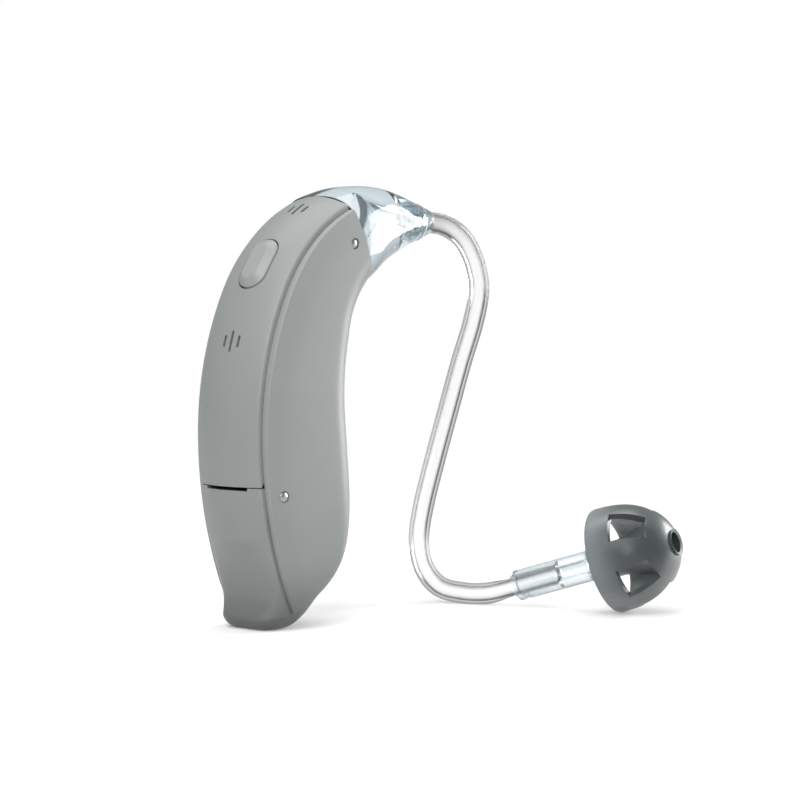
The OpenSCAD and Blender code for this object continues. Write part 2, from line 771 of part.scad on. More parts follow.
// A smooth line through the knots
function between(a, b, c, d, t) =
    (2 * b + t * (c - a) + t * t * (2 * a - 5 * b + 4 * c - d) + t * t * t * (3 * b - a - 3 * c + d)) / 2;
knot_steps = 3;
knot_count = len(tube_knots);
tube_points = concat(
    [cone_end - (cone_len + stem_len / 2) * [1, 0, 0]],
    [for (k = [0 : knot_count - 2]) for (i = [0 : knot_steps - 1])
        between(tube_knots[max(k - 1, 0)], tube_knots[k], tube_knots[k + 1],
            tube_knots[min(k + 2, knot_count - 1)], i / knot_steps)],
    [dome_at(barrel_back + tube_end_r), dome_at(barrel_back - barrel_socket)]
);

// A hose whose rings stand square to its middle line
function unit(v) = v / norm(v);
function hose_ring(points, k, r, sides) =
    let (
        n = len(points),
        w = unit(points[min(k + 1, n - 1)] - points[max(k - 1, 0)]),
        u = unit(cross(w, [0.25, 1, 0.25])),
        v = cross(w, u)
    )
    [for (i = [0 : sides - 1])
        let (a = 360 * i / sides)
        points[k] + r * (cos(a) * u + sin(a) * v)];

module hose(points, outer_r, bore_r, sides) {
    n = len(points);
    b = n * sides;
    polyhedron(
        points = concat(
            [for (k = [0 : n - 1]) each hose_ring(points, k, outer_r[k], sides)],
            [for (k = [0 : n - 1]) each hose_ring(points, k, bore_r[k], sides)]
        ),
        faces = concat(
            [for (k = [0 : n - 2]) for (i = [0 : sides - 1])
                let (j = (i + 1) % sides, r = k * sides)
                [r + j, r + i, r + sides + i, r + sides + j]],
            [for (k = [0 : n - 2]) for (i = [0 : sides - 1])
                let (j = (i + 1) % sides, r = b + k * sides)
                [r + i, r + j, r + sides + j, r + sides + i]],
            [for (i = [0 : sides - 1]) let (j = (i + 1) % sides) [i, j, b + j, b + i]],
            [for (i = [0 : sides - 1])
                let (j = (i + 1) % sides, r = (n - 1) * sides)
                [r + j, r + i, b + r + i, b + r + j]]
        )
    );
}

tube_sides = 12;
module sound_tube() {
    n = len(tube_points);
    color([0.93, 0.94, 0.95, 0.55]) hose(
        tube_points,
        [for (k = [0 : n - 1]) tube_r + (tube_end_r - tube_r) * k / (n - 1)],
        [for (k = [0 : n - 1]) tube_id / 2],
        tube_sides
    );
}

// Puts children at the rim of the dome with their Z along its axis towards the nose
module at_dome() {
    heading = atan2(dome_u[1], dome_u[0]);
    tilt = acos(dome_u[2]);
    translate(rim_p) rotate([0, tilt, heading]) children();
}

// The clear barrel ends in a flange against the dome and a neck inside it
barrel_r = barrel_od / 2;
flange_r = 1.42 * barrel_r;
flange_back = 0.62 * barrel_r;
neck_r = 0.8 * barrel_r;
module dome_barrel() {
    color([0.82, 0.9, 0.94, 0.6]) at_dome() difference() {
        union() {
            translate([0, 0, -barrel_back]) cylinder(r = barrel_r, h = barrel_back - flange_back);
            translate([0, 0, -2 * flange_back])
                cylinder(r1 = barrel_r, r2 = flange_r, h = flange_back);
            translate([0, 0, -flange_back - over])
                cylinder(r = neck_r, h = barrel_front + flange_back - neck_r / 2);
            translate([0, 0, barrel_front - over - neck_r / 2])
                cylinder(r1 = neck_r, r2 = 0.8 * neck_r, h = neck_r / 2);
        }
        translate([0, 0, -2 * barrel_back])
            cylinder(r = tube_end_r + tube_gap, h = barrel_back + barrel_socket + tube_gap);
        translate([0, 0, -barrel_back]) cylinder(r = tube_id / 2, h = 2 * barrel_back);
        translate([barrel_r, 0, 0.3 * barrel_od - barrel_back]) rotate([90, 0, 0])
            cylinder(r = 0.2 * barrel_r, h = barrel_od, center = true);
    }
}

// Half sections of the dome, as shares of its radius and its length
dome_steps = 16;
dome_share = 2.5;
dome_nose = 0.985;
core_low_r = neck_r + dome_wall;
core_top_r = 0.62 * dome_r;
core_z = 0.72 * dome_len;
core_back = flange_back - tube_gap;
dome_bore_r = neck_r + tube_gap;
function dome_radius(a, r, len) = r * pow(1 - pow(a / len, dome_share), 0.5);
function dome_line(r, len, steps) = [for (k = steps)
    let (a = len * dome_nose * sin(90 * k / dome_steps))
    [dome_radius(a, r, len), a]];
module dome_section() {
    inner_len = dome_len - 1.6 * dome_wall;
    polygon(concat(
        dome_line(dome_r, dome_len, [0 : dome_steps]),
        [[dome_bore_r, dome_len], [dome_bore_r, -core_back]],
        [[core_low_r, -core_back], [core_low_r, 0.3 * core_z], [0.85 * core_top_r, core_z]],
        dome_line(dome_r - dome_wall, inner_len, [dome_steps - 4 : -1 : 0])
    ));
}

vent_low = 0.33 * dome_len;
vent_top = 0.77 * dome_len;
vent_turn = 50.4;
module ear_dome() {
    color([0.33, 0.35, 0.36, 0.95]) at_dome() difference() {
        rotate_extrude() dome_section();
        for (k = [0 : vent_count - 1])
            rotate([0, 0, 360 * (k + 0.5) / vent_count + vent_turn - vent_angle / 2])
                rotate_extrude(angle = vent_angle) polygon([
                    [core_low_r + dome_wall, vent_low],
                    [dome_d, vent_low],
                    [dome_d, vent_top],
                    [core_top_r, vent_top]
                ]);
    }
}

module battery_cell() {
    cap_r = 0.82 * cell_r;
    step = 0.08 * cell_t;
    color("#c7c9c6") translate([cell_p[0], cell_t / 2, cell_p[1]]) rotate([90, 0, 0]) {
        cylinder(r = cell_r - step, h = cell_t);
        translate([0, 0, step]) cylinder(r = cell_r, h = cell_t - 3 * step);
        cylinder(r = cap_r, h = cell_t);
    }
}

// Spring contacts hang from the chassis beside the flat faces of the cell
contact_t = 0.15;
contact_y = cell_t / 2 + contact_t / 2 + seam_gap;
contact_rise = 1;
contact_x = cell_x + 0.15 * cell_r;
contact_top = cell_z + cell_r + contact_rise;
module contact(side, width) {
    bend = 2 * contact_t;
    side_plate(contact_t, side * contact_y) translate([contact_x, cell_z - width / 2])
        square([width, contact_top - cell_z + width / 2]);
    side_plate(contact_t + bend, side * (contact_y - bend / 2))
        translate([contact_x, contact_top]) square([width, contact_t]);
}

module contact_positive() {
    color("#d2b46a") contact(1, 0.45 * cell_r);
}

module contact_negative() {
    color("#d2b46a") contact(-1, 0.35 * cell_r);
}

// The chassis: two rails that follow the spine, tied by a bar and a floor over the cell
rail_w = 0.45;
rail_y = half_w - wall - seam_gap - rail_w / 2;
rail_h = 1.2;
rail_first_s = -0.12 * s_mid;
rail_last_s = s_top - 1.8 * tongue_len;
rail_steps = 16;
bar_s = 0.58 * s_mid;
floor_z = contact_top + contact_t;
floor_t = 0.8;
floor_x = cell_x - 0.65 * cell_r;
floor_len = 1.3 * cell_r;
post_w = 0.4 * cell_r;
module chassis() {
    color("#3c4144") {
        for (side = [-1, 1]) side_plate(rail_w, side * rail_y) {
            ribbon(rail_first_s, rail_last_s, board_d, rail_h, rail_steps);
            translate([floor_x, floor_z]) square([post_w, spine_z - floor_z + rail_h]);
        }
        side_plate(2 * rail_y) translate([floor_x, floor_z]) square([floor_len, floor_t]);
        side_plate(2 * rail_y)
            ribbon(bar_s - rail_h / 2, bar_s + rail_h / 2, board_d + board_t + seam_gap, rail_h - board_t, 2);
    }
}

// The board lies between the rails and follows the spine
board_first_s = 0.1 * s_mid;
board_last_s = button_s + 0.4 * button_len;
board_y = rail_y - rail_w / 2 - seam_gap;
module circuit_board() {
    color("#2f6b4a") side_plate(2 * board_y)
        ribbon(board_first_s, board_last_s, board_d, board_t, rail_steps);
}

// Chips hang under the board
signal_chip_size = [1, 3.6, 3.8];
power_chip_size = [0.9, 3, 2.6];
board_low_r = spine_r_mid + crown_rise - board_d - board_t;
module chip(s, size) {
    at_spine(s, board_d + board_t + sag(size[2] / 2, board_low_r))
        translate([0, -size[1] / 2, -size[2] / 2]) cube(size);
}

module signal_chip() {
    color("#26282b") chip(0.86 * s_mid, signal_chip_size);
}

module power_chip() {
    color("#303338") chip(0.34 * s_mid, power_chip_size);
}

module microphone(s) {
    at_spine(s, mic_d) difference() {
        translate([0, -mic_size[1] / 2, -mic_size[2] / 2]) cube(mic_size);
        translate([-over, 0, 0]) rotate([0, 90, 0])
            cylinder(d = slit_pitch, h = over + mic_size[0] / 2);
    }
}

module mic_boot(s) {
    at_spine(s, mic_d) difference() {
        translate([-boot_t, -mic_size[1] / 2 - boot_t, -boot_half])
            cube([boot_t + 0.8 * mic_size[0], mic_size[1] + 2 * boot_t, 2 * boot_half]);
        translate([0, -mic_size[1] / 2, -mic_size[2] / 2])
            cube([2 * mic_size[0], mic_size[1], mic_size[2]]);
        translate([-boot_t - over, 0, 0]) rotate([0, 90, 0])
            cylinder(d = 0.8 * slit_len, h = 2 * (boot_t + over));
    }
}

module front_microphone() {
    color("#b9bcc0") microphone(front_mic_s);
}

module rear_microphone() {
    color("#b9bcc0") microphone(rear_mic_s);
}

module front_mic_boot() {
    color("#5c6265") mic_boot(front_mic_s);
}

module rear_mic_boot() {
    color("#5c6265") mic_boot(rear_mic_s);
}

// The receiver lies along the front wall in a soft boot, with its spout towards the hook
receiver_size = [2.9, 4, 6.4];
receiver_s = 0.62 * s_mid;
receiver_boot_t = 0.45;
receiver_gap = 0.86;
receiver_d = depth_at(receiver_s) - wall - receiver_gap - receiver_boot_t - receiver_size[0];
spout_r = 0.5;
spout_len = 1.1;
module at_receiver() {
    at_spine(receiver_s, receiver_d) children();
}

module receiver() {
    color("#c4c7c9") at_receiver() {
        translate([0, -receiver_size[1] / 2, -receiver_size[2] / 2]) cube(receiver_size);
        translate([receiver_size[0] / 2, 0, receiver_size[2] / 2])
            cylinder(r = spout_r, h = spout_len);
    }
}

module receiver_boot() {
    t = receiver_boot_t;
    front = receiver_size[0] + t;
    side = receiver_size[1] / 2 + t;
    color("#4d5356") at_receiver() difference() {
        translate([0, 0, -receiver_size[2] / 2 - t])
            linear_extrude(height = receiver_size[2] + 1.6 * t) polygon([
                [-t, -side], [front - t, -side], [front, t - side],
                [front, side - t], [front - t, side], [-t, side]
            ]);
        translate([0, -receiver_size[1] / 2, -receiver_size[2] / 2])
            cube([receiver_size[0], receiver_size[1], receiver_size[2] + over + t]);
    }
}

// A soft tube joins the spout to the nipple of the hook
soft_wall = 0.3;
receiver_a = spine_angle(receiver_s);
spout_p = spine_point(receiver_s, receiver_d + receiver_size[0] / 2)
    + receiver_size[2] / 2 * upward(receiver_a);
soft_start = spout_p + 0.1 * spout_len * upward(receiver_a);
soft_end = nipple_p + 0.4 * nipple_len * upward(spine_a_end);
soft_from = spout_p + 1.1 * spout_len * upward(receiver_a);
soft_to = nipple_p - 0.1 * nipple_len * upward(spine_a_end);
soft_pull = 0.45 * norm(soft_to - soft_from);
soft_steps = 10;
function soft_point(k) =
    let (
        t = k / soft_steps,
        p1 = soft_from + soft_pull * upward(receiver_a),
        p2 = soft_to - soft_pull * upward(spine_a_end)
    )
    pow(1 - t, 3) * soft_from + 3 * t * pow(1 - t, 2) * p1 + 3 * t * t * (1 - t) * p2
        + pow(t, 3) * soft_to;
soft_line = [for (p = concat([soft_start], [for (k = [0 : soft_steps]) soft_point(k)], [soft_end]))
    [p[0], 0, p[1]]];
soft_bore = [for (k = [0 : soft_steps + 2])
    (k <= soft_steps ? spout_r : nipple_r) + 2 * tube_gap];
module receiver_tube() {
    color([0.75, 0.78, 0.8, 0.8]) hose(soft_line, [for (r = soft_bore) r + soft_wall], soft_bore, tube_sides);
}

// The telecoil lies across the housing under the lower end of the board
coil_r = 0.7;
coil_len = 4;
module telecoil() {
    p = spine_point(board_first_s, board_d + board_t + seam_gap + coil_r);
    color("#a5622f") cross_rod(p, coil_r, coil_len);
}

shell_left();
shell_right();
spine_cover();
battery_door();
hinge_pin();
hook_pin();
push_button();
button_switch();
ear_hook();
hook_seal();
tube_connector();
sound_tube();
dome_barrel();
ear_dome();
battery_cell();
contact_positive();
contact_negative();
chassis();
circuit_board();
signal_chip();
power_chip();
front_microphone();
rear_microphone();
front_mic_boot();
rear_mic_boot();
receiver();
receiver_boot();
receiver_tube();
telecoil();
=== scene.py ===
import math

import bmesh
import bpy
from mathutils import Matrix, Vector


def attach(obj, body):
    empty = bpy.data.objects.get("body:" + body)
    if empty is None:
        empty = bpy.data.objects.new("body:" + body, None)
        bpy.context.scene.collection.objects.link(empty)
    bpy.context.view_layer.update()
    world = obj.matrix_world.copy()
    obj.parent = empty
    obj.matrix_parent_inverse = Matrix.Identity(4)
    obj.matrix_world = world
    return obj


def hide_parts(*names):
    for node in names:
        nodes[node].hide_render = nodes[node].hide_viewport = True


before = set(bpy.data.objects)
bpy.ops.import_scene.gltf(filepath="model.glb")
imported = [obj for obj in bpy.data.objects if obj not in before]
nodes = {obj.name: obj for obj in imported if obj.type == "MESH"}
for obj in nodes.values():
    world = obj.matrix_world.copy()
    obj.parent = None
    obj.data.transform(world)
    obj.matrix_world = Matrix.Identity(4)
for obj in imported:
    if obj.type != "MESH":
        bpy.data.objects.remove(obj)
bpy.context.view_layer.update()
MM = 0.001

# Camera: a long lens from behind the housing, round on the side of the wearer's head
CAMERA_TURN = -48.0
CAMERA_RISE = 3.5
CAMERA_FAR = 250.0
CAMERA_LENS = 135
CAMERA_SENSOR = 36
LOOK_AT = Vector((9.43, -7.55, 18.85))
turn, rise = math.radians(CAMERA_TURN), math.radians(CAMERA_RISE)
TO_CAMERA = Vector((math.sin(turn) * math.cos(rise), -math.cos(turn) * math.cos(rise), math.sin(rise)))
camera_data = bpy.data.cameras.new("camera")
camera_data.lens = CAMERA_LENS
camera_data.sensor_width = CAMERA_SENSOR
camera_data.clip_start = 0.01
camera_data.clip_end = 5
camera = bpy.data.objects.new("camera", camera_data)
bpy.context.scene.collection.objects.link(camera)
camera.location = (LOOK_AT + TO_CAMERA * CAMERA_FAR) * MM
camera.rotation_euler = TO_CAMERA.to_track_quat("Z", "Y").to_euler()
bpy.context.scene.camera = camera

# Sizes of the housing
BODY_W = 8.9
BODY_DEPTH = 12.1
TOP_TAPER = 3.8
TAPER_POWER = 1.45
HEEL_DROP = 6.0
HEEL_LEN = 12.5
HEEL_POWER = 2.3
HEEL_PINCH = 0.6
DEEPEST_SHARE = 0.1
PINCH_POWER = 12
FRONT_ROUND = 3.2
CORNER_POWER = 0.8
WALL = 0.8
SEAM = 0.05

# The line of the spine: three arcs, with the angles at which they end
SPINE_BACK = 3.2
SPINE_Z = 16.2
R_LOW, R_MID, R_TOP = 34.0, 25.5, 15.0
A_LOW, A_MID, A_END = 26.2, 28.0, 68.3

# The strip along the back, and the groove beside it
STRIP_W = 6.9
STRIP_T = 1.1
CROWN_RISE = 0.8
STRIP_PROUD = 0.4
GROOVE_W = 0.5
HALF_W, HALF_STRIP = BODY_W / 2, STRIP_W / 2
LIP_Y = HALF_STRIP + SEAM
FLOOR_D = CROWN_RISE + STRIP_PROUD
STRIP_FLOOR_D = CROWN_RISE + STRIP_T

# Pins, cell and dome, as places in the side view where they have two numbers
PIN_R = 0.45
PIN_GAP = 0.04
PIN_HOLE_HALF = 5
HINGE = Vector((-1.05, 11.25))
CELL = Vector((2.65, 7.0))
CELL_R = 3.95
CELL_T = 5.4
CELL_GAP = 0.08
DOME_R = 4.6
DOME_LEN = 6.6
DOME_WALL = 0.5
DOME_HEADING = 73.6
DOME_LIFT = 17.1
heading, lift = math.radians(DOME_HEADING), math.radians(DOME_LIFT)
dome_way = Vector((math.cos(lift) * math.cos(heading), -math.cos(lift) * math.sin(heading), math.sin(lift)))
rim = Vector((27.8, -15.23, DOME_R * math.cos(lift)))

# Places along the spine
S_MID = math.radians(R_MID * A_MID)
S_TOP = S_MID + math.radians(R_TOP * (A_END - A_MID))
S_LOW = -math.radians(R_LOW * A_LOW)
S_HEEL = S_LOW + HEEL_LEN
S_DEEP = S_HEEL + HEEL_LEN * DEEPEST_SHARE


def inward(a):
    return Vector((math.cos(math.radians(a)), -math.sin(math.radians(a))))


def upward(a):
    return Vector((math.sin(math.radians(a)), math.cos(math.radians(a))))


LOW_C = Vector((R_LOW - SPINE_BACK, SPINE_Z))
MID_C = Vector((R_MID - SPINE_BACK, SPINE_Z))
TOP_C = MID_C + (R_TOP - R_MID) * inward(A_MID)


def spine_angle(s):
    if s < 0:
        return math.degrees(s / R_LOW)
    if s < S_MID:
        return math.degrees(s / R_MID)
    return A_MID + math.degrees((s - S_MID) / R_TOP)


def spine_point(s, d):
    """A place in the side view: s along the groove line, d below the crown."""
    way, depth = inward(spine_angle(s)), d - CROWN_RISE
    if s < 0:
        return LOW_C - (R_LOW - depth) * way
    if s < S_MID:
        return MID_C - (R_MID - depth) * way
    return TOP_C - (R_TOP - depth) * way


def across(p, y):
    """A place in the side view, set y to the left."""
    return Vector((p.x, y, p.y))


def place(s, d, y):
    return across(spine_point(s, d), y)


def crown(y):
    return CROWN_RISE * (y / HALF_STRIP) ** 2


def heel_t(s):
    return max(0.0, min(1.0, (S_HEEL - s) / HEEL_LEN))


def depth_at(s):
    heel = 1 - max(0.0, 1 - heel_t(s) ** HEEL_POWER) ** (1 / HEEL_POWER)
    taper = 0 if s < S_DEEP else TOP_TAPER * ((s - S_DEEP) / (S_TOP - S_DEEP)) ** TAPER_POWER
    return BODY_DEPTH - taper - HEEL_DROP * heel


def half_at(s):
    return HALF_W - HEEL_PINCH * heel_t(s) ** PINCH_POWER


def rounding_at(s):
    return min(FRONT_ROUND, depth_at(s) / 2)


def round_back(y, w, rounding):
    """How far the rounded front corner falls back at a place across it."""
    t = math.acos(min(1, (y / w) ** (1 / CORNER_POWER)))
    return rounding * (1 - math.sin(t) ** CORNER_POWER)


# Mesh helpers
def smooth_line(knots, steps):
    """Points of a smooth line through the knots."""
    line = []
    last = len(knots) - 1
    for k in range(last):
        a, b, c, d = knots[max(k - 1, 0)], knots[k], knots[k + 1], knots[min(k + 2, last)]
        for i in range(steps):
            t = i / steps
            line.append((2 * b + t * (c - a) + t * t * (2 * a - 5 * b + 4 * c - d)
                         + t * t * t * (3 * b - a - 3 * c + d)) / 2)
    return line + [knots[-1]]


def sweep(bm, rings, caps=True):
    """Extrudes one ring of edges through all the others; returns the first and last edges."""
    verts = [bm.verts.new(p) for p in rings[0]]
    count = len(verts)
    pairs = [(i, (i + 1) % count) for i in range(count)]
    edges = [bm.edges.new((verts[i], verts[j])) for i, j in pairs]
    first = list(edges)
    for ring in rings[1:]:
        made = bmesh.ops.extrude_edge_only(bm, edges=edges)["geom"]
        fresh = {g for g in made if isinstance(g, bmesh.types.BMVert)}
        verts = [next(e.other_vert(v) for e in v.link_edges if e.other_vert(v) in fresh) for v in verts]
        for v, p in zip(verts, ring):
            v.co = p
        edges = [bm.edges.get((verts[i], verts[j])) for i, j in pairs]
    if caps:
        bmesh.ops.contextual_create(bm, geom=first)
        bmesh.ops.contextual_create(bm, geom=edges)
    return first, edges


def lathe(bm, profile, steps=96, closed=True):
    """Spins a profile of (radius, height) places round Z."""
    verts = [bm.verts.new((r, 0, z)) for r, z in profile]
    pairs = zip(verts, verts[1:] + verts[:1]) if closed else zip(verts, verts[1:])
    edges = [bm.edges.new(pair) for pair in pairs]
    bmesh.ops.spin(bm, geom=verts + edges, axis=(0, 0, 1), cent=(0, 0, 0), angle=math.tau,
                   steps=steps, use_merge=True)
    bmesh.ops.remove_doubles(bm, verts=bm.verts, dist=1e-4)


def rounded(profile, sizes):
    """A closed profile with round corners; sizes gives one radius for each corner."""
    corner_steps = 5
    line = []
    count = len(profile)
    for k in range(count):
        a, b, c = (Vector(profile[(k + i) % count]) for i in (-1, 0, 1))
        r = min(sizes[k], (a - b).length * 0.45, (c - b).length * 0.45)
        if r <= 0:
            line.append(tuple(b))
            continue
        p, q = b + (a - b).normalized() * r, b + (c - b).normalized() * r
        for i in range(corner_steps + 1):
            t = i / corner_steps
            line.append(tuple((1 - t) ** 2 * p + 2 * t * (1 - t) * b + t * t * q))
    return line


def mesh_of(name, bm):
    """Closes a bmesh drawn in millimetres into an object in metres."""
    bmesh.ops.recalc_face_normals(bm, faces=bm.faces)
    bmesh.ops.scale(bm, vec=(MM, MM, MM), verts=bm.verts)
    mesh = bpy.data.meshes.new(name)
    bm.to_mesh(mesh)
    bm.free()
    obj = bpy.data.objects.new(name, mesh)
    bpy.context.scene.collection.objects.link(obj)
    return obj


def turned_to(spot, angle, axis):
    """A matrix that turns about one axis, then moves to a spot."""
    return Matrix.Translation(spot) @ Matrix.Rotation(math.radians(angle), 4, axis)


def move(bm, matrix):
    bmesh.ops.transform(bm, matrix=matrix, verts=bm.verts)


def bake(obj):
    """Applies an object's modifiers to its mesh."""
    graph = bpy.context.evaluated_depsgraph_get()
    mesh = bpy.data.meshes.new_from_object(obj.evaluated_get(graph))
    obj.modifiers.clear()
    obj.data = mesh


def carve(obj, cutters, operation="DIFFERENCE"):
    """Cuts other shapes out of an object, or joins them to it, and removes them."""
    for cutter in cutters:
        cut = obj.modifiers.new("cut", "BOOLEAN")
        cut.object = cutter
        cut.operation = operation
        cut.solver = "MANIFOLD"
    bpy.context.view_layer.update()
    bake(obj)
    for cutter in cutters:
        bpy.data.objects.remove(cutter)


def prism(name, outline, width):
    """A plate with an outline in the side view, centred on the middle plane."""
    bm = bmesh.new()
    sweep(bm, [[across(Vector(p), e * width / 2) for p in outline] for e in (-1, 1)])
    return mesh_of(name, bm)


def rod(name, start, end, r, steps=48, edge=0.0):
    """A round bar between two places, with its ends chamfered by edge."""
    start, end = Vector(start), Vector(end)
    length = (end - start).length
    bm = bmesh.new()
    profile = [(0, 0), (r - edge, 0), (r, edge), (r, length - edge), (r - edge, length), (0, length)]
    if edge == 0:
        profile = [(0, 0), (r, 0), (r, length), (0, length)]
    lathe(bm, profile, steps, closed=False)
    move(bm, Matrix.Translation(start) @ (end - start).to_track_quat("Z", "Y").to_matrix().to_4x4())
    return mesh_of(name, bm)


def cross_rod(name, p, half, r, steps=48, edge=0.0):
    """A round bar that runs from side to side through a place in the side view."""
    return rod(name, across(p, -half), across(p, half), r, steps, edge)


def finish_piece(obj, material, node, body, sharp=32, bevel=0.0):
    """Shades a piece, gives it its material and body, and hides the CAD node it replaces."""
    mesh = obj.data
    mesh.materials.clear()
    mesh.materials.append(material)
    mesh.polygons.foreach_set("use_smooth", [True] * len(mesh.polygons))
    mesh.set_sharp_from_angle(angle=math.radians(sharp))
    if bevel:
        soften = obj.modifiers.new("edge", "BEVEL")
        soften.width = bevel * MM
        soften.segments = 2
        soften.limit_method = "ANGLE"
        soften.angle_limit = math.radians(sharp)
        soften.harden_normals = False
    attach(obj, body)
    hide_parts(node)


# Materials
class Value:
    """Wraps a socket so that sums on it add Math nodes."""

    def __init__(self, paint, socket):
        self.paint, self.socket = paint, socket

    def _math(self, operation, a, b):
        return self.paint.add("ShaderNodeMath", {"operation": operation}, {0: a, 1: b})

    def __add__(self, other):
        return self._math("ADD", self, other)

    __radd__ = __add__

    def __sub__(self, other):
        return self._math("SUBTRACT", self, other)

    def __mul__(self, other):
        return self._math("MULTIPLY", self, other)

    __rmul__ = __mul__


class Paint:
    """A node material built round one Principled shader."""

    def __init__(self, name, **constants):
        self.material = bpy.data.materials.new(name)
        self.material.use_nodes = True
        self.tree = self.material.node_tree
        self.shader = self.tree.nodes["Principled BSDF"]
        self.place = self.add("ShaderNodeTexCoord", {}, {}, "Object")
        for key, value in constants.items():
            self.put(key.replace("_", " "), value)

    def add(self, kind, settings, inputs, output=0):
        node = self.tree.nodes.new(kind)
        for key, value in settings.items():
            setattr(node, key, value)
        for key, value in inputs.items():
            if isinstance(value, Value):
                self.tree.links.new(value.socket, node.inputs[key])
            else:
                node.inputs[key].default_value = value
        return Value(self, node.outputs[output])

    def put(self, key, value):
        if isinstance(value, Value):
            self.tree.links.new(value.socket, self.shader.inputs[key])
        elif isinstance(value, tuple):
            self.shader.inputs[key].default_value = (*value, 1)
        else:
            self.shader.inputs[key].default_value = value

    def noise(self, scale, detail):
        return self.add("ShaderNodeTexNoise", {},
                        {"Vector": self.place, "Scale": scale, "Detail": detail, "Roughness": 0.5})

    def ramp(self, value, low, high):
        """A smooth 0 to 1 as a value goes from low to high."""
        return self.add("ShaderNodeMapRange", {"interpolation_type": "SMOOTHSTEP"},
                        {"Value": value, "From Min": low, "From Max": high})

    def along(self, way):
        """How far a place on the piece lies along a direction, in metres."""
        return self.add("ShaderNodeVectorMath", {"operation": "DOT_PRODUCT"},
                        {0: self.place, 1: way}, "Value")

    def blend(self, mask, low, high):
        """A colour that goes from low to high with the mask."""
        low, high = [c if isinstance(c, Value) else (*c, 1) for c in (low, high)]
        return self.add("ShaderNodeMix", {"data_type": "RGBA"}, {"Factor": mask, 6: low, 7: high}, 2)

    def bump(self, height, strength, distance):
        self.put("Normal", self.add("ShaderNodeBump", {},
                                    {"Height": height, "Strength": strength, "Distance": distance}))


def shade(colour, factor):
    return tuple(c * factor for c in colour)


FINE_BUMP = 0.00001
FLOW_BUMP = 0.00005
# Painted shade near the floor: the share of colour left at the bottom, and where it fades out, in
# millimetres
PAINTED_FOOT_SHADE, PAINTED_SHADE_LOW, PAINTED_SHADE_HIGH = 0.34, -2.2, 6.5


def moulded(name, colour, roughness):
    """Moulded plastic: a soft drift of colour, fine spark-eroded grain, painted shade towards the floor."""
    paint = Paint(name, IOR=1.46)
    drift = paint.noise(160, 3)
    even = paint.blend(drift, shade(colour, 0.95), shade(colour, 1.05))
    # Painted shade: the colour darkens towards the bottom of the piece, where less light reaches it
    height = paint.add("ShaderNodeSeparateXYZ", {}, {0: paint.place}, "Z")
    above = paint.ramp(height, PAINTED_SHADE_LOW * MM, PAINTED_SHADE_HIGH * MM)
    paint.put("Base Color", paint.blend(above, shade(colour, PAINTED_FOOT_SHADE), even))
    fine = paint.noise(9000, 2)
    paint.put("Roughness", roughness + 0.08 * (fine - 0.5) + 0.06 * (drift - 0.5))
    paint.bump(fine, 0.05, FINE_BUMP)
    return paint.material


def clear(name, colour, edge, roughness, ior=1.49, edge_shade_span=(0.3, 0.85), sheen=1.0, painted_shade_behind=None):
    """Clear tinted plastic with painted shade where seen edge on and behind a plane (way, start, colour).
    """
    paint = Paint(name, IOR=ior, Transmission_Weight=1.0, Specular_Tint=(sheen, sheen, sheen))
    flow = paint.noise(420, 2)
    facing = paint.add("ShaderNodeLayerWeight", {}, {"Blend": 0.5}, "Facing")
    # Painted shade: the edge colour darkens the plastic where it is seen edge on
    tint_and_painted_shade = paint.blend(paint.ramp(facing, *edge_shade_span), shade(colour, 0.99), edge)
    # Painted shade: the deep colour darkens the plastic behind the plane, where the housing shades it
    if painted_shade_behind:
        way, start, deep = painted_shade_behind
        tint_and_painted_shade = paint.blend(paint.ramp(paint.along(way), start * MM, (start + 0.3) * MM), deep, tint_and_painted_shade)
    paint.put("Base Color", tint_and_painted_shade)
    paint.put("Roughness", roughness + 0.03 * flow)
    paint.bump(flow, 0.02, FLOW_BUMP)
    return paint.material


def metal(name, colour, roughness):
    """Metal with a faint drift of colour and fine marks."""
    paint = Paint(name, Metallic=1.0)
    drift = paint.noise(700, 3)
    fine = paint.noise(5200, 3)
    paint.put("Base Color", paint.blend(drift, shade(colour, 0.92), colour))
    paint.put("Roughness", roughness + 0.12 * (drift - 0.5) + 0.08 * (fine - 0.5))
    paint.bump(fine, 0.06, FINE_BUMP)
    return paint.material


def rubber(name, colour, roughness, see=0.0):
    """Soft rubber; see is the share of light that passes through it."""
    paint = Paint(name, IOR=1.42, Transmission_Weight=see)
    drift = paint.noise(300, 3)
    fine = paint.noise(6000, 2)
    paint.put("Base Color", paint.blend(drift, shade(colour, 0.93), shade(colour, 1.07)))
    paint.put("Roughness", roughness + 0.1 * (fine - 0.5))
    paint.bump(fine, 0.08, FINE_BUMP)
    return paint.material


def skirted(name, deep, pale):
    """Soft translucent silicone, paler towards the thin rim of the dome."""
    paint = Paint(name, IOR=1.42, Transmission_Weight=0.12)
    start = dome_way.dot(rim) * MM
    mask = paint.ramp(paint.along(dome_way), start, start + 0.5 * DOME_LEN * MM)
    fine = paint.noise(6000, 2)
    paint.put("Base Color", paint.blend(mask, pale, deep))
    paint.put("Roughness", 0.34 + 0.1 * (fine - 0.5))
    paint.bump(fine, 0.06, FINE_BUMP)
    return paint.material


GREY = (0.312, 0.332, 0.328)
shell_grey = moulded("shell_grey", GREY, 0.36)
cover_grey = moulded("cover_grey", shade(GREY, 0.95), 0.38)
door_grey = moulded("door_grey", shade(GREY, 0.93), 0.36)
button_grey = moulded("button_grey", shade(GREY, 1.05), 0.33)
pin_steel = metal("pin_steel", (0.34, 0.36, 0.355), 0.36)
hook_back = across(upward(A_END), 0)
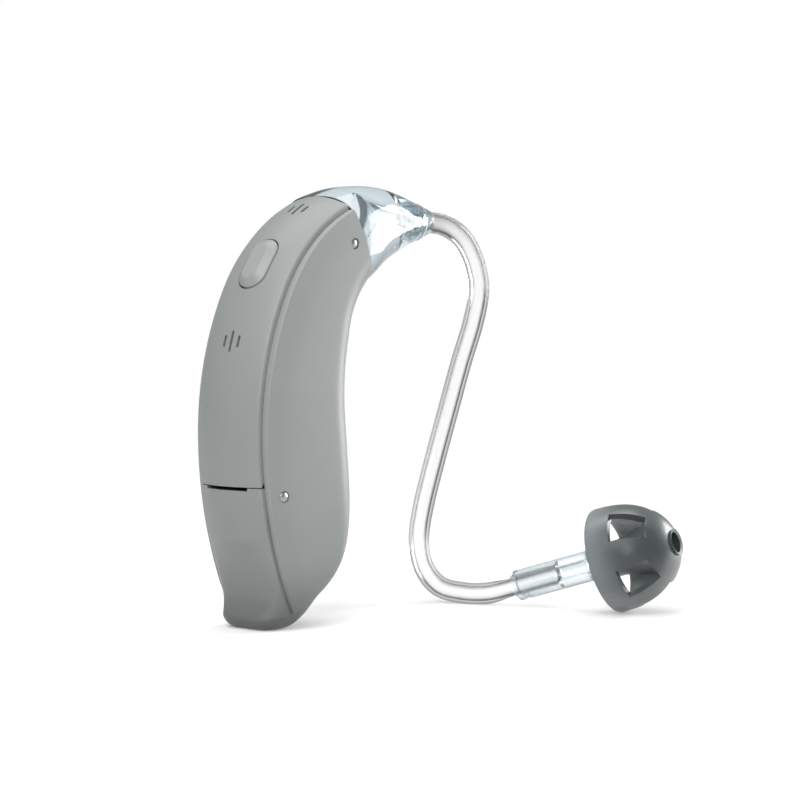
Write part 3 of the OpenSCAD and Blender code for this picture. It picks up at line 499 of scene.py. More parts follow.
# Each clear plastic's second colour is painted shade where it is seen edge on; the hook's last colour is
# painted shade inside the housing
clear_hook = clear("clear_hook", (0.88, 0.93, 0.945), (0.34, 0.45, 0.5), 0.02, 1.49, (0.12, 0.7), 0.06,
                   (hook_back, hook_back.dot(place(S_TOP, 0, 0)), (0.2, 0.24, 0.235)))
clear_connector = clear("clear_connector", (0.84, 0.93, 0.965), (0.4, 0.53, 0.6), 0.05)
clear_tube = clear("clear_tube", (0.99, 0.99, 0.99), (0.36, 0.355, 0.35), 0.14, 1.3, (0.04, 0.5), 0.1)
clear_barrel = clear("clear_barrel", (0.93, 0.97, 0.985), (0.42, 0.56, 0.64), 0.2, 1.42, (0.2, 0.8))
dome_grey = skirted("dome_grey", (0.072, 0.087, 0.09), (0.25, 0.275, 0.28))
cell_steel = metal("cell_steel", (0.66, 0.66, 0.63), 0.25)
contact_gold = metal("contact_gold", (0.83, 0.62, 0.28), 0.25)
coil_copper = metal("coil_copper", (0.72, 0.34, 0.16), 0.35)
can_steel = metal("can_steel", (0.62, 0.63, 0.64), 0.3)
can_dark = metal("can_dark", (0.06, 0.062, 0.065), 0.5)
frame_dark = moulded("frame_dark", (0.05, 0.055, 0.06), 0.5)
board_green = moulded("board_green", (0.03, 0.16, 0.07), 0.4)
chip_black = moulded("chip_black", (0.02, 0.021, 0.024), 0.35)
boot_rubber = rubber("boot_rubber", (0.035, 0.04, 0.042), 0.6)
soft_clear = rubber("soft_clear", (0.6, 0.63, 0.65), 0.35, 0.5)

# The CAD's own pieces inside the housing keep their meshes and get these materials
for name, material in {
    "button_switch": contact_gold, "hook_seal": boot_rubber, "contact_positive": contact_gold,
    "contact_negative": contact_gold, "chassis": frame_dark, "circuit_board": board_green,
    "signal_chip": chip_black, "power_chip": chip_black, "front_microphone": can_dark,
    "rear_microphone": can_dark, "front_mic_boot": boot_rubber, "rear_mic_boot": boot_rubber,
    "receiver": can_steel, "receiver_boot": boot_rubber, "receiver_tube": soft_clear,
    "telecoil": coil_copper,
}.items():
    mesh = nodes[name].data
    mesh.materials.clear()
    mesh.materials.append(material)

# Side shells
SHOULDER = [Vector(p) for p in ((3.95, 0.0), (4.09, 0.13), (4.22, 0.78), (4.37, 1.61), (4.45, 2.6))]
SHOULDER_IN, SHOULDER_W, SHOULDER_FALL, SHOULDER_SHARE = 3.95, 0.5, 2.6, 0.9
SHOULDER_STEPS, FRONT_STEPS, HEEL_STEPS, BODY_STEPS = 4, 20, 20, 44
HOOK_PIN_D, HOOK_PIN_BACK = 3.74, 1.3
SHELL_PIN_GAP, PIN_SHORT, PIN_CHAMFER = 0.02, 0.09, 0.1


def side_line(w, edge, depth, first, rounding):
    """Half of a cross-section of a shell, from the lip to the middle of the front wall."""
    fall = min(1.0, SHOULDER_SHARE * (depth - rounding - first) / SHOULDER_FALL)
    line = [(LIP_Y, first)]
    for p in smooth_line(SHOULDER, SHOULDER_STEPS):
        line.append((edge + (w - edge) * (p.x - SHOULDER_IN) / SHOULDER_W, first + fall * p.y))
    for k in range(FRONT_STEPS + 1):
        t = math.radians(90 * k / FRONT_STEPS)
        y = 0.0 if k == FRONT_STEPS else w * math.cos(t) ** CORNER_POWER
        line.append((y, depth - rounding * (1 - math.sin(t) ** CORNER_POWER)))
    return line


def shell_ring(s, side):
    depth, w, rounding = depth_at(s), half_at(s), rounding_at(s)
    w_in = max(w - WALL, LIP_Y + WALL / 8)
    outer = side_line(w, min(HALF_STRIP + GROOVE_W, (LIP_Y + w) / 2), depth, FLOOR_D, rounding)
    inner = side_line(w_in, (LIP_Y + w_in) / 2, depth - WALL, FLOOR_D + WALL, rounding - WALL / 2)
    return [place(s, d, side * y) for y, d in outer + inner[::-1]]


def heel_station(share):
    """Stations along the heel lie closer together towards its end."""
    return S_HEEL - HEEL_LEN * math.cos(math.radians(90 * share))


shell_stations = [heel_station(k / HEEL_STEPS) for k in range(HEEL_STEPS)]
shell_stations += [S_HEEL + (S_TOP - S_HEEL) * k / BODY_STEPS for k in range(BODY_STEPS + 1)]

# The seam between shells and door: a straight line from the hinge to the front of the foot
SEAM_S = heel_station(1 / 8)
REACH = 3 * BODY_DEPTH
seam_place = spine_point(SEAM_S, depth_at(SEAM_S))
seam_way = (seam_place - HINGE).normalized()
seam_normal = Vector((-seam_way.y, seam_way.x))
swing_outline = [HINGE + SEAM * seam_normal, HINGE + REACH * seam_way + SEAM * seam_normal,
                 HINGE + REACH * seam_way - REACH * seam_normal, HINGE - REACH * seam_normal]
hook_pin_place = spine_point(S_TOP, HOOK_PIN_D) - HOOK_PIN_BACK * upward(A_END)

for side, name in ((1, "shell_left"), (-1, "shell_right")):
    bm = bmesh.new()
    sweep(bm, [shell_ring(s, side) for s in shell_stations])
    shell = mesh_of(name + "_moulding", bm)
    cutters = [prism("cut", swing_outline, 2 * LIP_Y + SEAM)]
    cutters += [cross_rod("cut", p, HALF_W + 1, PIN_R + SHELL_PIN_GAP) for p in (HINGE, hook_pin_place)]
    carve(shell, cutters)
    finish_piece(shell, shell_grey, name, "housing", 32, 0.05)

for name, p in (("hinge_pin", HINGE), ("hook_pin", hook_pin_place)):
    bar = cross_rod(name + "_bar", p, HALF_W - PIN_SHORT, PIN_R, 48, PIN_CHAMFER)
    finish_piece(bar, pin_steel, name, "housing", 60)

# Spine cover
SLOT_LOW, SLOT_H, SLOT_LEN = 0.495, 0.29, 4.6
SLOT_TOP = SLOT_LOW + SLOT_H
SLOT_Z = HINGE.y + SLOT_TOP
SLOT_S = -R_LOW * math.asin((SPINE_Z - SLOT_Z) / R_LOW)
SLOT_X = HINGE.x - spine_point(SLOT_S, 0).x
FRONT_MIC_S = S_TOP - 2.27
REAR_MIC_S = 0.61 * S_MID
BUTTON_S = S_MID + 0.19 * (S_TOP - S_MID)
BUTTON_R, BUTTON_STRAIGHT, BUTTON_GAP = 1.45, 0.95, 0.12
SLIT_W, SLIT_LEN, SLIT_PITCH, SLIT_SHORT = 0.28, 1.8, 0.77, 0.58
COVER_STEPS, CROSS_STEPS, PILL_STEPS = 60, 26, 14
EDGE_ROUND, RELIEF_GAP, RELIEF_SIDE = 0.14, 0.02, 0.4
PILL_LOW, PILL_HIGH = -1.0, 2.6


def edge_drop(y):
    """How far the rounded edge of the strip has fallen at a place across it."""
    over = min(1.0, max(0.0, abs(y) - (HALF_STRIP - EDGE_ROUND)) / EDGE_ROUND)
    return EDGE_ROUND * (1 - math.sqrt(1 - over * over))


def strip_top():
    """Half widths and depths across the strip."""
    line = []
    for k in range(CROSS_STEPS + 1):
        y = HALF_STRIP * math.sin(math.radians(90 * (2 * k / CROSS_STEPS - 1)))
        line.append((y, crown(y) + edge_drop(y)))
    return line


def strip_ring(s):
    bottom = [(HALF_STRIP, STRIP_FLOOR_D), (0.0, STRIP_FLOOR_D), (-HALF_STRIP, STRIP_FLOOR_D)]
    return [place(s, d, y) for y, d in strip_top() + bottom]


def frame_at(s, y=0.0):
    """A matrix whose X runs inwards from the crown, and Z up the spine."""
    return turned_to(place(s, 0, y), spine_angle(s), "Y")


def pill(half_straight, r):
    """Places (along, across) of a round-ended outline."""
    line = []
    for e in (1, -1):
        for k in range(PILL_STEPS + 1):
            a = math.radians(180 * k / PILL_STEPS - 90)
            line.append((e * (half_straight + r * math.cos(a)), e * r * math.sin(a)))
    return line


def pill_rings(half_straight, r, depths):
    return [[Vector((x, q, p)) for p, q in pill(half_straight, r)] for x in depths]


def pill_cutter(s, half_straight, r, y=0.0):
    bm = bmesh.new()
    sweep(bm, pill_rings(half_straight, r, (PILL_LOW, PILL_HIGH)))
    move(bm, frame_at(s, y))
    return mesh_of("cut", bm)


def swing_cutter():
    """The room that the door's top edge sweeps as it turns on the hinge."""
    side = HALF_STRIP + RELIEF_SIDE
    outline = [(0, -side)]
    for y in [-side] + [p[0] for p in strip_top()] + [side]:
        near = max(-HALF_STRIP, min(HALF_STRIP, y))
        outline.append((math.hypot(SLOT_X - crown(near) - edge_drop(near), SLOT_TOP) + RELIEF_GAP, y))
    outline.append((0, side))
    bm = bmesh.new()
    lathe(bm, outline, 96, closed=False)
    move(bm, turned_to(across(HINGE, 0), 90, "X"))
    return mesh_of("cut", bm)


bm = bmesh.new()
cover_start = SLOT_S - STRIP_T
cover_len = S_TOP - cover_start
sweep(bm, [strip_ring(cover_start + cover_len * k / COVER_STEPS) for k in range(COVER_STEPS + 1)])
made = bmesh.ops.bisect_plane(bm, geom=bm.verts[:] + bm.edges[:] + bm.faces[:], dist=1e-5,
                              plane_co=(0, 0, SLOT_Z), plane_no=(0, 0, 1), clear_inner=True)["geom_cut"]
bmesh.ops.contextual_create(bm, geom=[g for g in made if isinstance(g, bmesh.types.BMEdge)])
cover = mesh_of("spine_strip", bm)
cutters = [pill_cutter(BUTTON_S, BUTTON_STRAIGHT, BUTTON_R + BUTTON_GAP)]
for s in (FRONT_MIC_S, REAR_MIC_S):
    for k in (-1, 0, 1):
        length = SLIT_LEN if k == 0 else SLIT_SHORT * SLIT_LEN
        cutters.append(pill_cutter(s, (length - SLIT_W) / 2, SLIT_W / 2, k * SLIT_PITCH))
cutters.append(swing_cutter())
carve(cover, cutters)
finish_piece(cover, cover_grey, "spine_cover", "housing", 32, 0.035)

# Push button: rows of (inset, depth below the crown, whether it follows the crown)
PLATE_D, PLATE_T, PLATE_RIM = 2.214, 0.275, 0.29
BUTTON_ROWS = (
    (0, PLATE_D + PLATE_T, False), (0, -0.03, True), (0.02, -0.08, True), (0.07, -0.115, True),
    (0.36, -0.235, True), (0.58, -0.34, False), (0.62, -0.365, False), (0.68, -0.377, False),
    (0.78, -0.38, False))


def button_ring(inset, d, follow):
    ring = []
    for along, y in pill(BUTTON_STRAIGHT, BUTTON_R - inset):
        r = R_TOP + CROWN_RISE
        fall = r - math.sqrt(r * r - along * along) + crown(y) if follow else 0.0
        ring.append(Vector((d + fall, y, along)))
    return ring


bm = bmesh.new()
sweep(bm, [button_ring(*row) for row in BUTTON_ROWS])
sweep(bm, pill_rings(BUTTON_STRAIGHT, BUTTON_R + PLATE_RIM, (PLATE_D, PLATE_D + PLATE_T)))
move(bm, frame_at(BUTTON_S))
finish_piece(mesh_of("button_cap", bm), button_grey, "push_button", "button", 40)

# Battery door: its lip's knots are shares of the hinge's height, down the back and along the foot
LIP_KNOTS = [
    (-0.138, 0.436), (-0.107, 0.33), (-0.093, 0.258), (-0.103, 0.188), (-0.13, 0.134),
    (-0.153, 0.1), (-0.155, 0.074), (-0.134, 0.038), (-0.096, 0.01), (-0.05, 0),
    (0.105, 0), (0.195, 0.03), (0.284, 0.085), (0.373, 0.163), (0.462, 0.245), (0.542, 0.33),
]
LIP_STEPS, CROWN_STEPS, LIP_TURN = len(LIP_KNOTS), 9, 5
LIP_POWER = 6
LIP_TOP_S = 0.6 * S_LOW
FOOT_D = CROWN_RISE + 0.12
FOOT_FRONT_D = depth_at(S_LOW) - round_back(HALF_STRIP, half_at(S_LOW), rounding_at(S_LOW))
SKIN_D, SKIN_STEPS = CROWN_RISE + 1.0, 6
RIM_STEPS = CROWN_STEPS + LIP_STEPS - SKIN_STEPS
RIM_START, RIM_SWEEP, RIM_R = 168, 159, 0.84 * CELL_R
DOOR_STEPS = 22
POCKET_W = CELL_T + 2 * CELL_GAP
ARM_IN, ARM_LOW, ARM_HIGH = 0.5, 0.9, 0.18
CUT_FAR, CUT_TOP, CUT_RISE = 12, 20, 25


def back_s(k):
    """Places down the back of the door, from its top edge to the lip."""
    return SLOT_S + (LIP_TOP_S - SLOT_S) * k / CROWN_STEPS


def lip_place(k, y):
    """The lip's knot at a place across it: full in the middle, gone at the sides."""
    if k <= LIP_TURN:
        side = spine_point(LIP_TOP_S + (S_LOW - LIP_TOP_S) * (k + 1) / (LIP_TURN + 1), FOOT_D)
    else:
        share = (k - LIP_TURN) / (LIP_STEPS - LIP_TURN)
        side = spine_point(S_LOW, FOOT_D + (FOOT_FRONT_D - FOOT_D) * share)
    middle = HINGE.y * Vector(LIP_KNOTS[k])
    return side + (1 - (abs(y) / HALF_STRIP) ** LIP_POWER) * (middle - side)


def door_outer(y):
    drop = crown(y) + edge_drop(y)
    front_d = depth_at(SEAM_S) - round_back(abs(y), half_at(SEAM_S), rounding_at(SEAM_S))
    knots = [spine_point(back_s(k), drop) for k in range(CROWN_STEPS)]
    knots += [lip_place(k, y) for k in range(LIP_STEPS)]
    knots.append(spine_point(SEAM_S, front_d))
    return [Vector((p.x, max(0.0, p.y))) for p in smooth_line(knots, 4)]


door_inner = [spine_point(back_s(k), SKIN_D) for k in range(SKIN_STEPS)]
for k in range(RIM_STEPS + 1):
    a = math.radians(RIM_START + RIM_SWEEP * k / RIM_STEPS)
    door_inner.append(CELL + RIM_R * Vector((math.cos(a), math.sin(a))))
door_stations = [HALF_STRIP * math.sin(math.radians(90 * (k / DOOR_STEPS - 1)))
                 for k in range(2 * DOOR_STEPS + 1)]

bm = bmesh.new()
sweep(bm, [[across(p, y) for p in door_outer(y) + door_inner[::-1]] for y in door_stations])
door = mesh_of("door_moulding", bm)
arm_x = HINGE.x - SLOT_X + CROWN_RISE + ARM_IN
arm_low, arm_high = HINGE.y - ARM_LOW, HINGE.y + ARM_HIGH
arm_outline = [(arm_x, arm_low), (HINGE.x, arm_low), (HINGE.x, arm_high), (arm_x, arm_high)]
knuckle = cross_rod("add", HINGE, POCKET_W / 2, 2 * PIN_R)
carve(door, [knuckle, prism("add", arm_outline, POCKET_W)], "UNION")


def above(z):
    """The side view above a height."""
    return [(-CUT_FAR, z), (CUT_FAR, z), (CUT_FAR, CUT_TOP), (-CUT_FAR, CUT_TOP)]


front_outline = [CELL + Vector((0, CUT_RISE)), CELL, HINGE + CELL_R * seam_way - SEAM * seam_normal,
                 HINGE + REACH * seam_way - SEAM * seam_normal,
                 HINGE + REACH * seam_way + REACH * seam_normal]
carve(door, [
    cross_rod("cut", CELL, POCKET_W / 2, CELL_R + CELL_GAP, 96),
    cross_rod("cut", HINGE, PIN_HOLE_HALF, PIN_R + PIN_GAP),
    prism("cut", above(HINGE.y + SLOT_LOW), SLOT_LEN),
    prism("cut", above(HINGE.y + SLOT_TOP - SEAM), BODY_W),
    prism("cut", front_outline, BODY_W),
])
finish_piece(door, door_grey, "battery_door", "door", 32, 0.04)

# Zinc-air cell: a can with a raised face on each side
half, cap_r = CELL_T / 2, 0.82 * CELL_R
bm = bmesh.new()
lathe(bm, [
    (0, -half), (cap_r - 0.15, -half), (cap_r, -half + 0.15), (cap_r + 0.1, -half + 0.35),
    (CELL_R - 0.4, -half + 0.4), (CELL_R - 0.12, -half + 0.55), (CELL_R, -half + 0.8),
    (CELL_R, half - 0.95), (CELL_R - 0.05, half - 0.85), (CELL_R - 0.35, half - 0.55),
    (cap_r + 0.1, half - 0.42), (cap_r, half - 0.3), (cap_r - 0.2, half), (0, half)], 96, closed=False)
move(bm, turned_to(across(CELL, 0), 90, "X"))
finish_piece(mesh_of("cell_can", bm), cell_steel, "battery_cell", "door", 24)

# Clear ear hook: heights and widths along it are shares of its root's half sizes
HOOK_LEN, HOOK_RISE, HOOK_TIP_R, HOOK_BORE_R = 10.7, 1.64, 1.65, 0.65
STEM_R, STEM_LEN, THREAD_PITCH, CONE_LEN = 1.3, 3.6, 0.5, 1.7
HOOK_A = 90 - A_END
HOOK_TURN_POWER, HOOK_SQUARE = 1.6, 0.72
HOOK_PULL = 0.42 * HOOK_LEN
HOOK_H = depth_at(S_TOP) / 2
HEIGHT_SHARES = [1, 0.985, 0.96, 0.92, 0.875, 0.83, 0.785, 0.735, 0.68, 0.62, 0.55, 0.475]
WIDTH_SHARES = [0.99, 0.97, 0.93, 0.88, 0.83, 0.78, 0.73, 0.68, 0.63, 0.575, 0.51, 0.44]
HOOK_FINE, HOOK_POINTS = 4, 64
hook_way = Vector((math.cos(math.radians(HOOK_A)), math.sin(math.radians(HOOK_A))))
hook_start = spine_point(S_TOP, depth_at(S_TOP) / 2) + SEAM * hook_way
hook_mouth = hook_start + Vector((HOOK_LEN, HOOK_RISE))
BORE_Z, MOUTH_X = hook_mouth.y, hook_mouth.x
mouth = Vector((MOUTH_X, 0, BORE_Z))


def hook_mid(t):
    """The hook's middle line, from its root to its mouth."""
    p1 = hook_start + HOOK_PULL * hook_way
    p2 = hook_mouth - HOOK_PULL * Vector((1, 0))
    return ((1 - t) ** 3 * hook_start + 3 * t * (1 - t) ** 2 * p1
            + 3 * t * t * (1 - t) * p2 + t ** 3 * hook_mouth)


def hook_ring(t, high, wide):
    """A cross-section of the hook: squarish at the root, round at the mouth."""
    c, b = hook_mid(t), math.radians(HOOK_A * (1 - t) ** HOOK_TURN_POWER)
    e = HOOK_SQUARE + (1 - HOOK_SQUARE) * t
    ring = []
    for i in range(HOOK_POINTS):
        a = math.tau * i / HOOK_POINTS
        y = wide * math.copysign(abs(math.cos(a)) ** e, math.cos(a))
        h = high * math.copysign(abs(math.sin(a)) ** e, math.sin(a))
        ring.append(Vector((c.x - h * math.sin(b), y, c.y + h * math.cos(b))))
    return ring


hook_sizes = [Vector((HOOK_H * h, HALF_W * w)) for h, w in zip(HEIGHT_SHARES, WIDTH_SHARES)]
hook_sizes = smooth_line(hook_sizes + [Vector((HOOK_TIP_R, HOOK_TIP_R))], HOOK_FINE)
bm = bmesh.new()
sweep(bm, [hook_ring(k / (len(hook_sizes) - 1), p.x, p.y) for k, p in enumerate(hook_sizes)])
hook = mesh_of("hook_clear", bm)

# The hook's tongue and nipple inside the housing
NIPPLE_R, NIPPLE_LEN, TONGUE_LEN, TONGUE_ROOT = 0.9, 1.2, 2.6, 0.4
INLET_CLEAR, TONGUE_TOP_GAP, TONGUE_LOW_GAP, TONGUE_SIDE_GAP = 0.45, 0.1, 0.3, 0.1
MIC_HALF, BOOT_WALL, NOTCH_GAP, TONGUE_CORNER = 1.3, 0.25, 0.1, 0.58
inlet = spine_point(S_TOP, HOOK_PIN_D + PIN_R + INLET_CLEAR + NIPPLE_R)
nipple = inlet - (TONGUE_LEN + NIPPLE_LEN) * upward(A_END)
strip_low_r = R_TOP - STRIP_T
tongue_fall = strip_low_r - math.sqrt(strip_low_r ** 2 - TONGUE_LEN ** 2)
tongue_top = STRIP_FLOOR_D + tongue_fall + TONGUE_TOP_GAP
tongue_low = depth_at(S_TOP) - WALL - TONGUE_LOW_GAP
tongue_edge = tongue_low - TONGUE_CORNER * FRONT_ROUND
tongue_y = HALF_W - WALL - TONGUE_SIDE_GAP
notch_y = MIC_HALF + BOOT_WALL + NOTCH_GAP
section = [(tongue_top, -tongue_y), (tongue_edge, -tongue_y), (tongue_low, -tongue_y / 2),
           (tongue_low, tongue_y / 2), (tongue_edge, tongue_y), (tongue_top, tongue_y),
           (tongue_top, notch_y), (HOOK_PIN_D, notch_y), (HOOK_PIN_D, -notch_y), (tongue_top, -notch_y)]
bm = bmesh.new()
sweep(bm, [[Vector((d, y, z)) for d, y in section] for z in (-TONGUE_LEN, TONGUE_ROOT)])
move(bm, turned_to(place(S_TOP, 0, 0), A_END, "Y"))
tongue = mesh_of("add", bm)
carve(hook, [tongue, rod("add", across(nipple, 0), across(inlet, 0), NIPPLE_R, 32)], "UNION")

# The hook's sound bore, its socket for the connector and its pin hole
SOCKET_GAP, HOOK_PIN_GAP, BORE_START, BORE_EXTRA = 0.1, 0.01, 0.3, 0.4
bore_start = Vector((hook_start.x + BORE_START * HOOK_LEN, BORE_Z))
bend = 0.45 * HOOK_BORE_R


def bore(a, b, before, after):
    """A straight stretch of the sound bore, made longer at both ends."""
    way = (b - a).normalized()
    return rod("cut", across(a - before * way, 0), across(b + after * way, 0), HOOK_BORE_R, 40)


carve(hook, [
    rod("cut", (MOUTH_X - STEM_LEN, 0, BORE_Z), (MOUTH_X + 1, 0, BORE_Z), STEM_R + SOCKET_GAP, 64),
    bore(nipple, inlet, BORE_EXTRA, bend),
    bore(inlet, bore_start, bend, bend),
    bore(bore_start, hook_mouth, bend, 0),
    cross_rod("cut", hook_pin_place, PIN_HOLE_HALF, PIN_R + HOOK_PIN_GAP),
])
finish_piece(hook, clear_hook, "ear_hook", "housing", 40)

# Threaded connector: a ridged stem in the hook, and a cone that takes the tube
TUBE_R, TUBE_END_R, TUBE_BORE, TUBE_GAP = 0.95, 0.8, 0.5, 0.03
RIDGES = 6
ridge = 0.12 * STEM_R
valley_r, crest_r = STEM_R - ridge, STEM_R - 0.02
cone_end_r = TUBE_R + 0.3 * ridge + 3 * TUBE_GAP
stem_end = SEAM + THREAD_PITCH / 2 - STEM_LEN
cone_end_z = SEAM + CONE_LEN
profile = [(TUBE_BORE, stem_end), (valley_r, stem_end)]
for k in range(RIDGES, 0, -1):
    z = -k * THREAD_PITCH
    profile += [(valley_r, z), (crest_r, z + 0.1), (crest_r, z + 0.16), (valley_r, z + 0.26)]
profile += [
    (valley_r, SEAM), (HOOK_TIP_R - 0.05, SEAM), (HOOK_TIP_R, SEAM + 0.06),
    (cone_end_r + 0.02, cone_end_z - 0.08), (cone_end_r - 0.06, cone_end_z),
    (TUBE_R + TUBE_GAP, cone_end_z), (TUBE_R + TUBE_GAP, -STEM_LEN / 2), (TUBE_BORE, -STEM_LEN / 2)]
bm = bmesh.new()
lathe(bm, profile, 72)
move(bm, turned_to(mouth, 90, "Y"))
connector = mesh_of("connector_clear", bm)
finish_piece(connector, clear_connector, "tube_connector", "tube_set", 40)

# Sound tube: its knots are shares of its fall, from the cone's end
BARREL_BACK, BARREL_FRONT, BARREL_SOCKET, BARREL_R = 9.0, 4.2, 4.3, 1.35
TUBE_FALL, TUBE_FULL_R, TUBE_SIDES = 32.7, 0.94, 40
TUBE_KNOTS = [
    (0, 0, 0), (0.056, -0.004, -0.006), (0.105, -0.011, -0.026), (0.147, -0.016, -0.063),
    (0.178, -0.021, -0.122), (0.188, -0.024, -0.19), (0.175, -0.015, -0.275),
    (0.143, 0, -0.382), (0.108, 0.015, -0.508), (0.077, 0.034, -0.637), (0.054, 0.056, -0.765),
    (0.04, 0.062, -0.859), (0.04, 0.046, -0.934), (0.054, 0, -0.986), (0.075, -0.065, -1),
    (0.096, -0.124, -0.999),
]
NARROW_START, NARROW_LEN, NARROW_NEAR = 0.4, 2.2, 8


def dome_at(back):
    """A place on the dome's axis, back from its rim."""
    return rim - back * dome_way


cone_end = mouth + Vector((CONE_LEN + 2 * SEAM, 0, 0))
knots = [cone_end + TUBE_FALL * Vector(p) for p in TUBE_KNOTS] + [dome_at(BARREL_BACK + 1.9)]
route = [cone_end - Vector((CONE_LEN + STEM_LEN / 2 - TUBE_GAP, 0, 0)),
         cone_end - Vector((CONE_LEN / 2, 0, 0))]
route += smooth_line(knots, 8)
route += [dome_at(BARREL_BACK + 0.8), dome_at(BARREL_BACK), dome_at(BARREL_BACK - BARREL_SOCKET - TUBE_GAP)]


def tube_radius(p):
    """Full along the tube, narrower where it nears and enters the barrel."""
    to_mouth = dome_at(BARREL_BACK) - p
    if to_mouth.length >= NARROW_NEAR:
        return TUBE_FULL_R
    share = max(0.0, min(1.0, (to_mouth.dot(dome_way) - NARROW_START) / NARROW_LEN))
    return TUBE_END_R + (TUBE_FULL_R - TUBE_END_R) * share * share * (3 - 2 * share)


def tube_rings(line, radii):
    """Rings round a line, carried along it without a twist."""
    rings, level = [], Vector((0, 1, 0))
    for k, p in enumerate(line):
        way = (line[min(k + 1, len(line) - 1)] - line[max(k - 1, 0)]).normalized()
        level = (level - way * level.dot(way)).normalized()
        other = way.cross(level)
        ring = []
        for i in range(TUBE_SIDES):
            a = math.tau * i / TUBE_SIDES
            ring.append(p + radii[k] * (math.cos(a) * level + math.sin(a) * other))
        rings.append(ring)
    return rings


bm = bmesh.new()
out_first, out_last = sweep(bm, tube_rings(route, [tube_radius(p) for p in route]), caps=False)
in_first, in_last = sweep(bm, tube_rings(route, [TUBE_BORE] * len(route)), caps=False)
for outer, inner in ((out_first, in_first), (out_last, in_last)):
    bmesh.ops.bridge_loops(bm, edges=outer + inner)
finish_piece(mesh_of("tube_clear", bm), clear_tube, "sound_tube", "tube_set", 40)

# Clear barrel: drawn along the dome's axis, with one corner size for each place
FLANGE_R, FLANGE_BACK, NECK_R = 1.42 * BARREL_R, 0.62 * BARREL_R, 0.8 * BARREL_R
NOTCH_IN, NOTCH_R = 0.81, 0.27
socket_r = TUBE_END_R + TUBE_GAP
dome_place = Matrix.Translation(rim) @ Matrix.Rotation(-heading, 4, "Z")
dome_place = dome_place @ Matrix.Rotation(math.radians(90) - lift, 4, "Y")
corners = [
    (socket_r, -BARREL_BACK, 0.08), (BARREL_R, -BARREL_BACK, 0.3), (BARREL_R, -2 * FLANGE_BACK, 0.8),
    (FLANGE_R, -FLANGE_BACK - 0.15, 0.1), (FLANGE_R, -FLANGE_BACK, 0.08), (NECK_R, -FLANGE_BACK, 0.05),
    (NECK_R, BARREL_FRONT - 0.9, 0.3), (0.8 * NECK_R, BARREL_FRONT - 0.4, 0.15),
    (TUBE_BORE, BARREL_FRONT - 0.4, 0.05), (TUBE_BORE, BARREL_SOCKET - BARREL_BACK, 0),
    (socket_r, BARREL_SOCKET - BARREL_BACK, 0)]
bm = bmesh.new()
lathe(bm, rounded([c[:2] for c in corners], [c[2] for c in corners]), 80)
move(bm, dome_place)
barrel = mesh_of("barrel_clear", bm)
notch_ends = [dome_place @ Vector((BARREL_R, y, NOTCH_IN - BARREL_BACK)) for y in (-2, 2)]
carve(barrel, [rod("cut", *notch_ends, NOTCH_R, 32)])
finish_piece(barrel, clear_barrel, "dome_barrel", "tube_set", 40)

# Ear dome: an outer and an inner curve, with the core that grips the barrel's neck
DOME_FULL, DOME_POWER = 0.985, 2.5
DOME_BORE_R, CORE_LOW_R = NECK_R + TUBE_GAP, NECK_R + DOME_WALL
CORE_TOP_R, CORE_Z = 0.62 * DOME_R, 0.72 * DOME_LEN
CORE_BACK = FLANGE_BACK - TUBE_GAP
VENTS, VENT_ANGLE, VENT_TURN, VENT_STEPS = 5, 38.0, 50.4, 12
VENT_LOW, VENT_HIGH = 0.33 * DOME_LEN, 0.77 * DOME_LEN


def dome_line(r, length, angles):
    line = []
    for a in angles:
        share = DOME_FULL * math.sin(math.radians(a))
        line.append((r * math.sqrt(max(0.0, 1 - share ** DOME_POWER)), length * share))
    return line


def vent_cutter(start):
    outline = [(CORE_LOW_R + DOME_WALL, VENT_LOW), (1.3 * DOME_R, VENT_LOW),
               (1.3 * DOME_R, VENT_HIGH), (CORE_TOP_R, VENT_HIGH)]
    rings = []
    for i in range(VENT_STEPS + 1):
        a = math.radians(start + VENT_ANGLE * i / VENT_STEPS)
        rings.append([Vector((r * math.cos(a), r * math.sin(a), z)) for r, z in outline])
    bm = bmesh.new()
    sweep(bm, rings)
    return mesh_of("cut", bm)


outside = dome_line(DOME_R, DOME_LEN, [2 + 86 * k / 40 for k in range(40)] + [89])
inside = dome_line(DOME_R - DOME_WALL, DOME_LEN - 1.6 * DOME_WALL, [68 - 66 * k / 26 for k in range(27)])
core = [
    (DOME_BORE_R + 0.1, DOME_LEN), (DOME_BORE_R, DOME_LEN - 0.12), (DOME_BORE_R, -CORE_BACK),
    (CORE_LOW_R - 0.05, -CORE_BACK), (CORE_LOW_R, -CORE_BACK + 0.06), (CORE_LOW_R, 0.3 * CORE_Z),
    (0.85 * CORE_TOP_R, CORE_Z - 0.1), (0.85 * CORE_TOP_R + 0.1, CORE_Z)]
edge = [(DOME_R - DOME_WALL + 0.05, 0.02), (DOME_R - 0.2, -0.02)]
bm = bmesh.new()
lathe(bm, [(DOME_R - 0.03, 0.04)] + outside + core + inside + edge, 120)
dome = mesh_of("dome_soft", bm)
carve(dome, [vent_cutter(360 * (k + 0.5) / VENTS + VENT_TURN - VENT_ANGLE / 2) for k in range(VENTS)])
dome.data.transform(Matrix.Scale(MM, 4).inverted())
dome.data.transform(dome_place)
dome.data.transform(Matrix.Scale(MM, 4))
finish_piece(dome, dome_grey, "ear_dome", "dome", 34, 0.06)

# Floor, backdrop and light; the two floor distances are in metres
BACKDROP = (1.0, 1.0, 1.0)
FLOOR_NEAR, FLOOR_FAR = 0.055, 0.13
FLOOR_SIZE = 900
WINDOW_EDGE, WINDOW_FULL = 0.6, 0.96


def plain_shader(tree, kind, colour, strength):
    shader = tree.nodes.new(kind)
    shader.inputs["Color"].default_value = (*colour, 1)
    shader.inputs["Strength"].default_value = strength
    return shader.outputs[0]


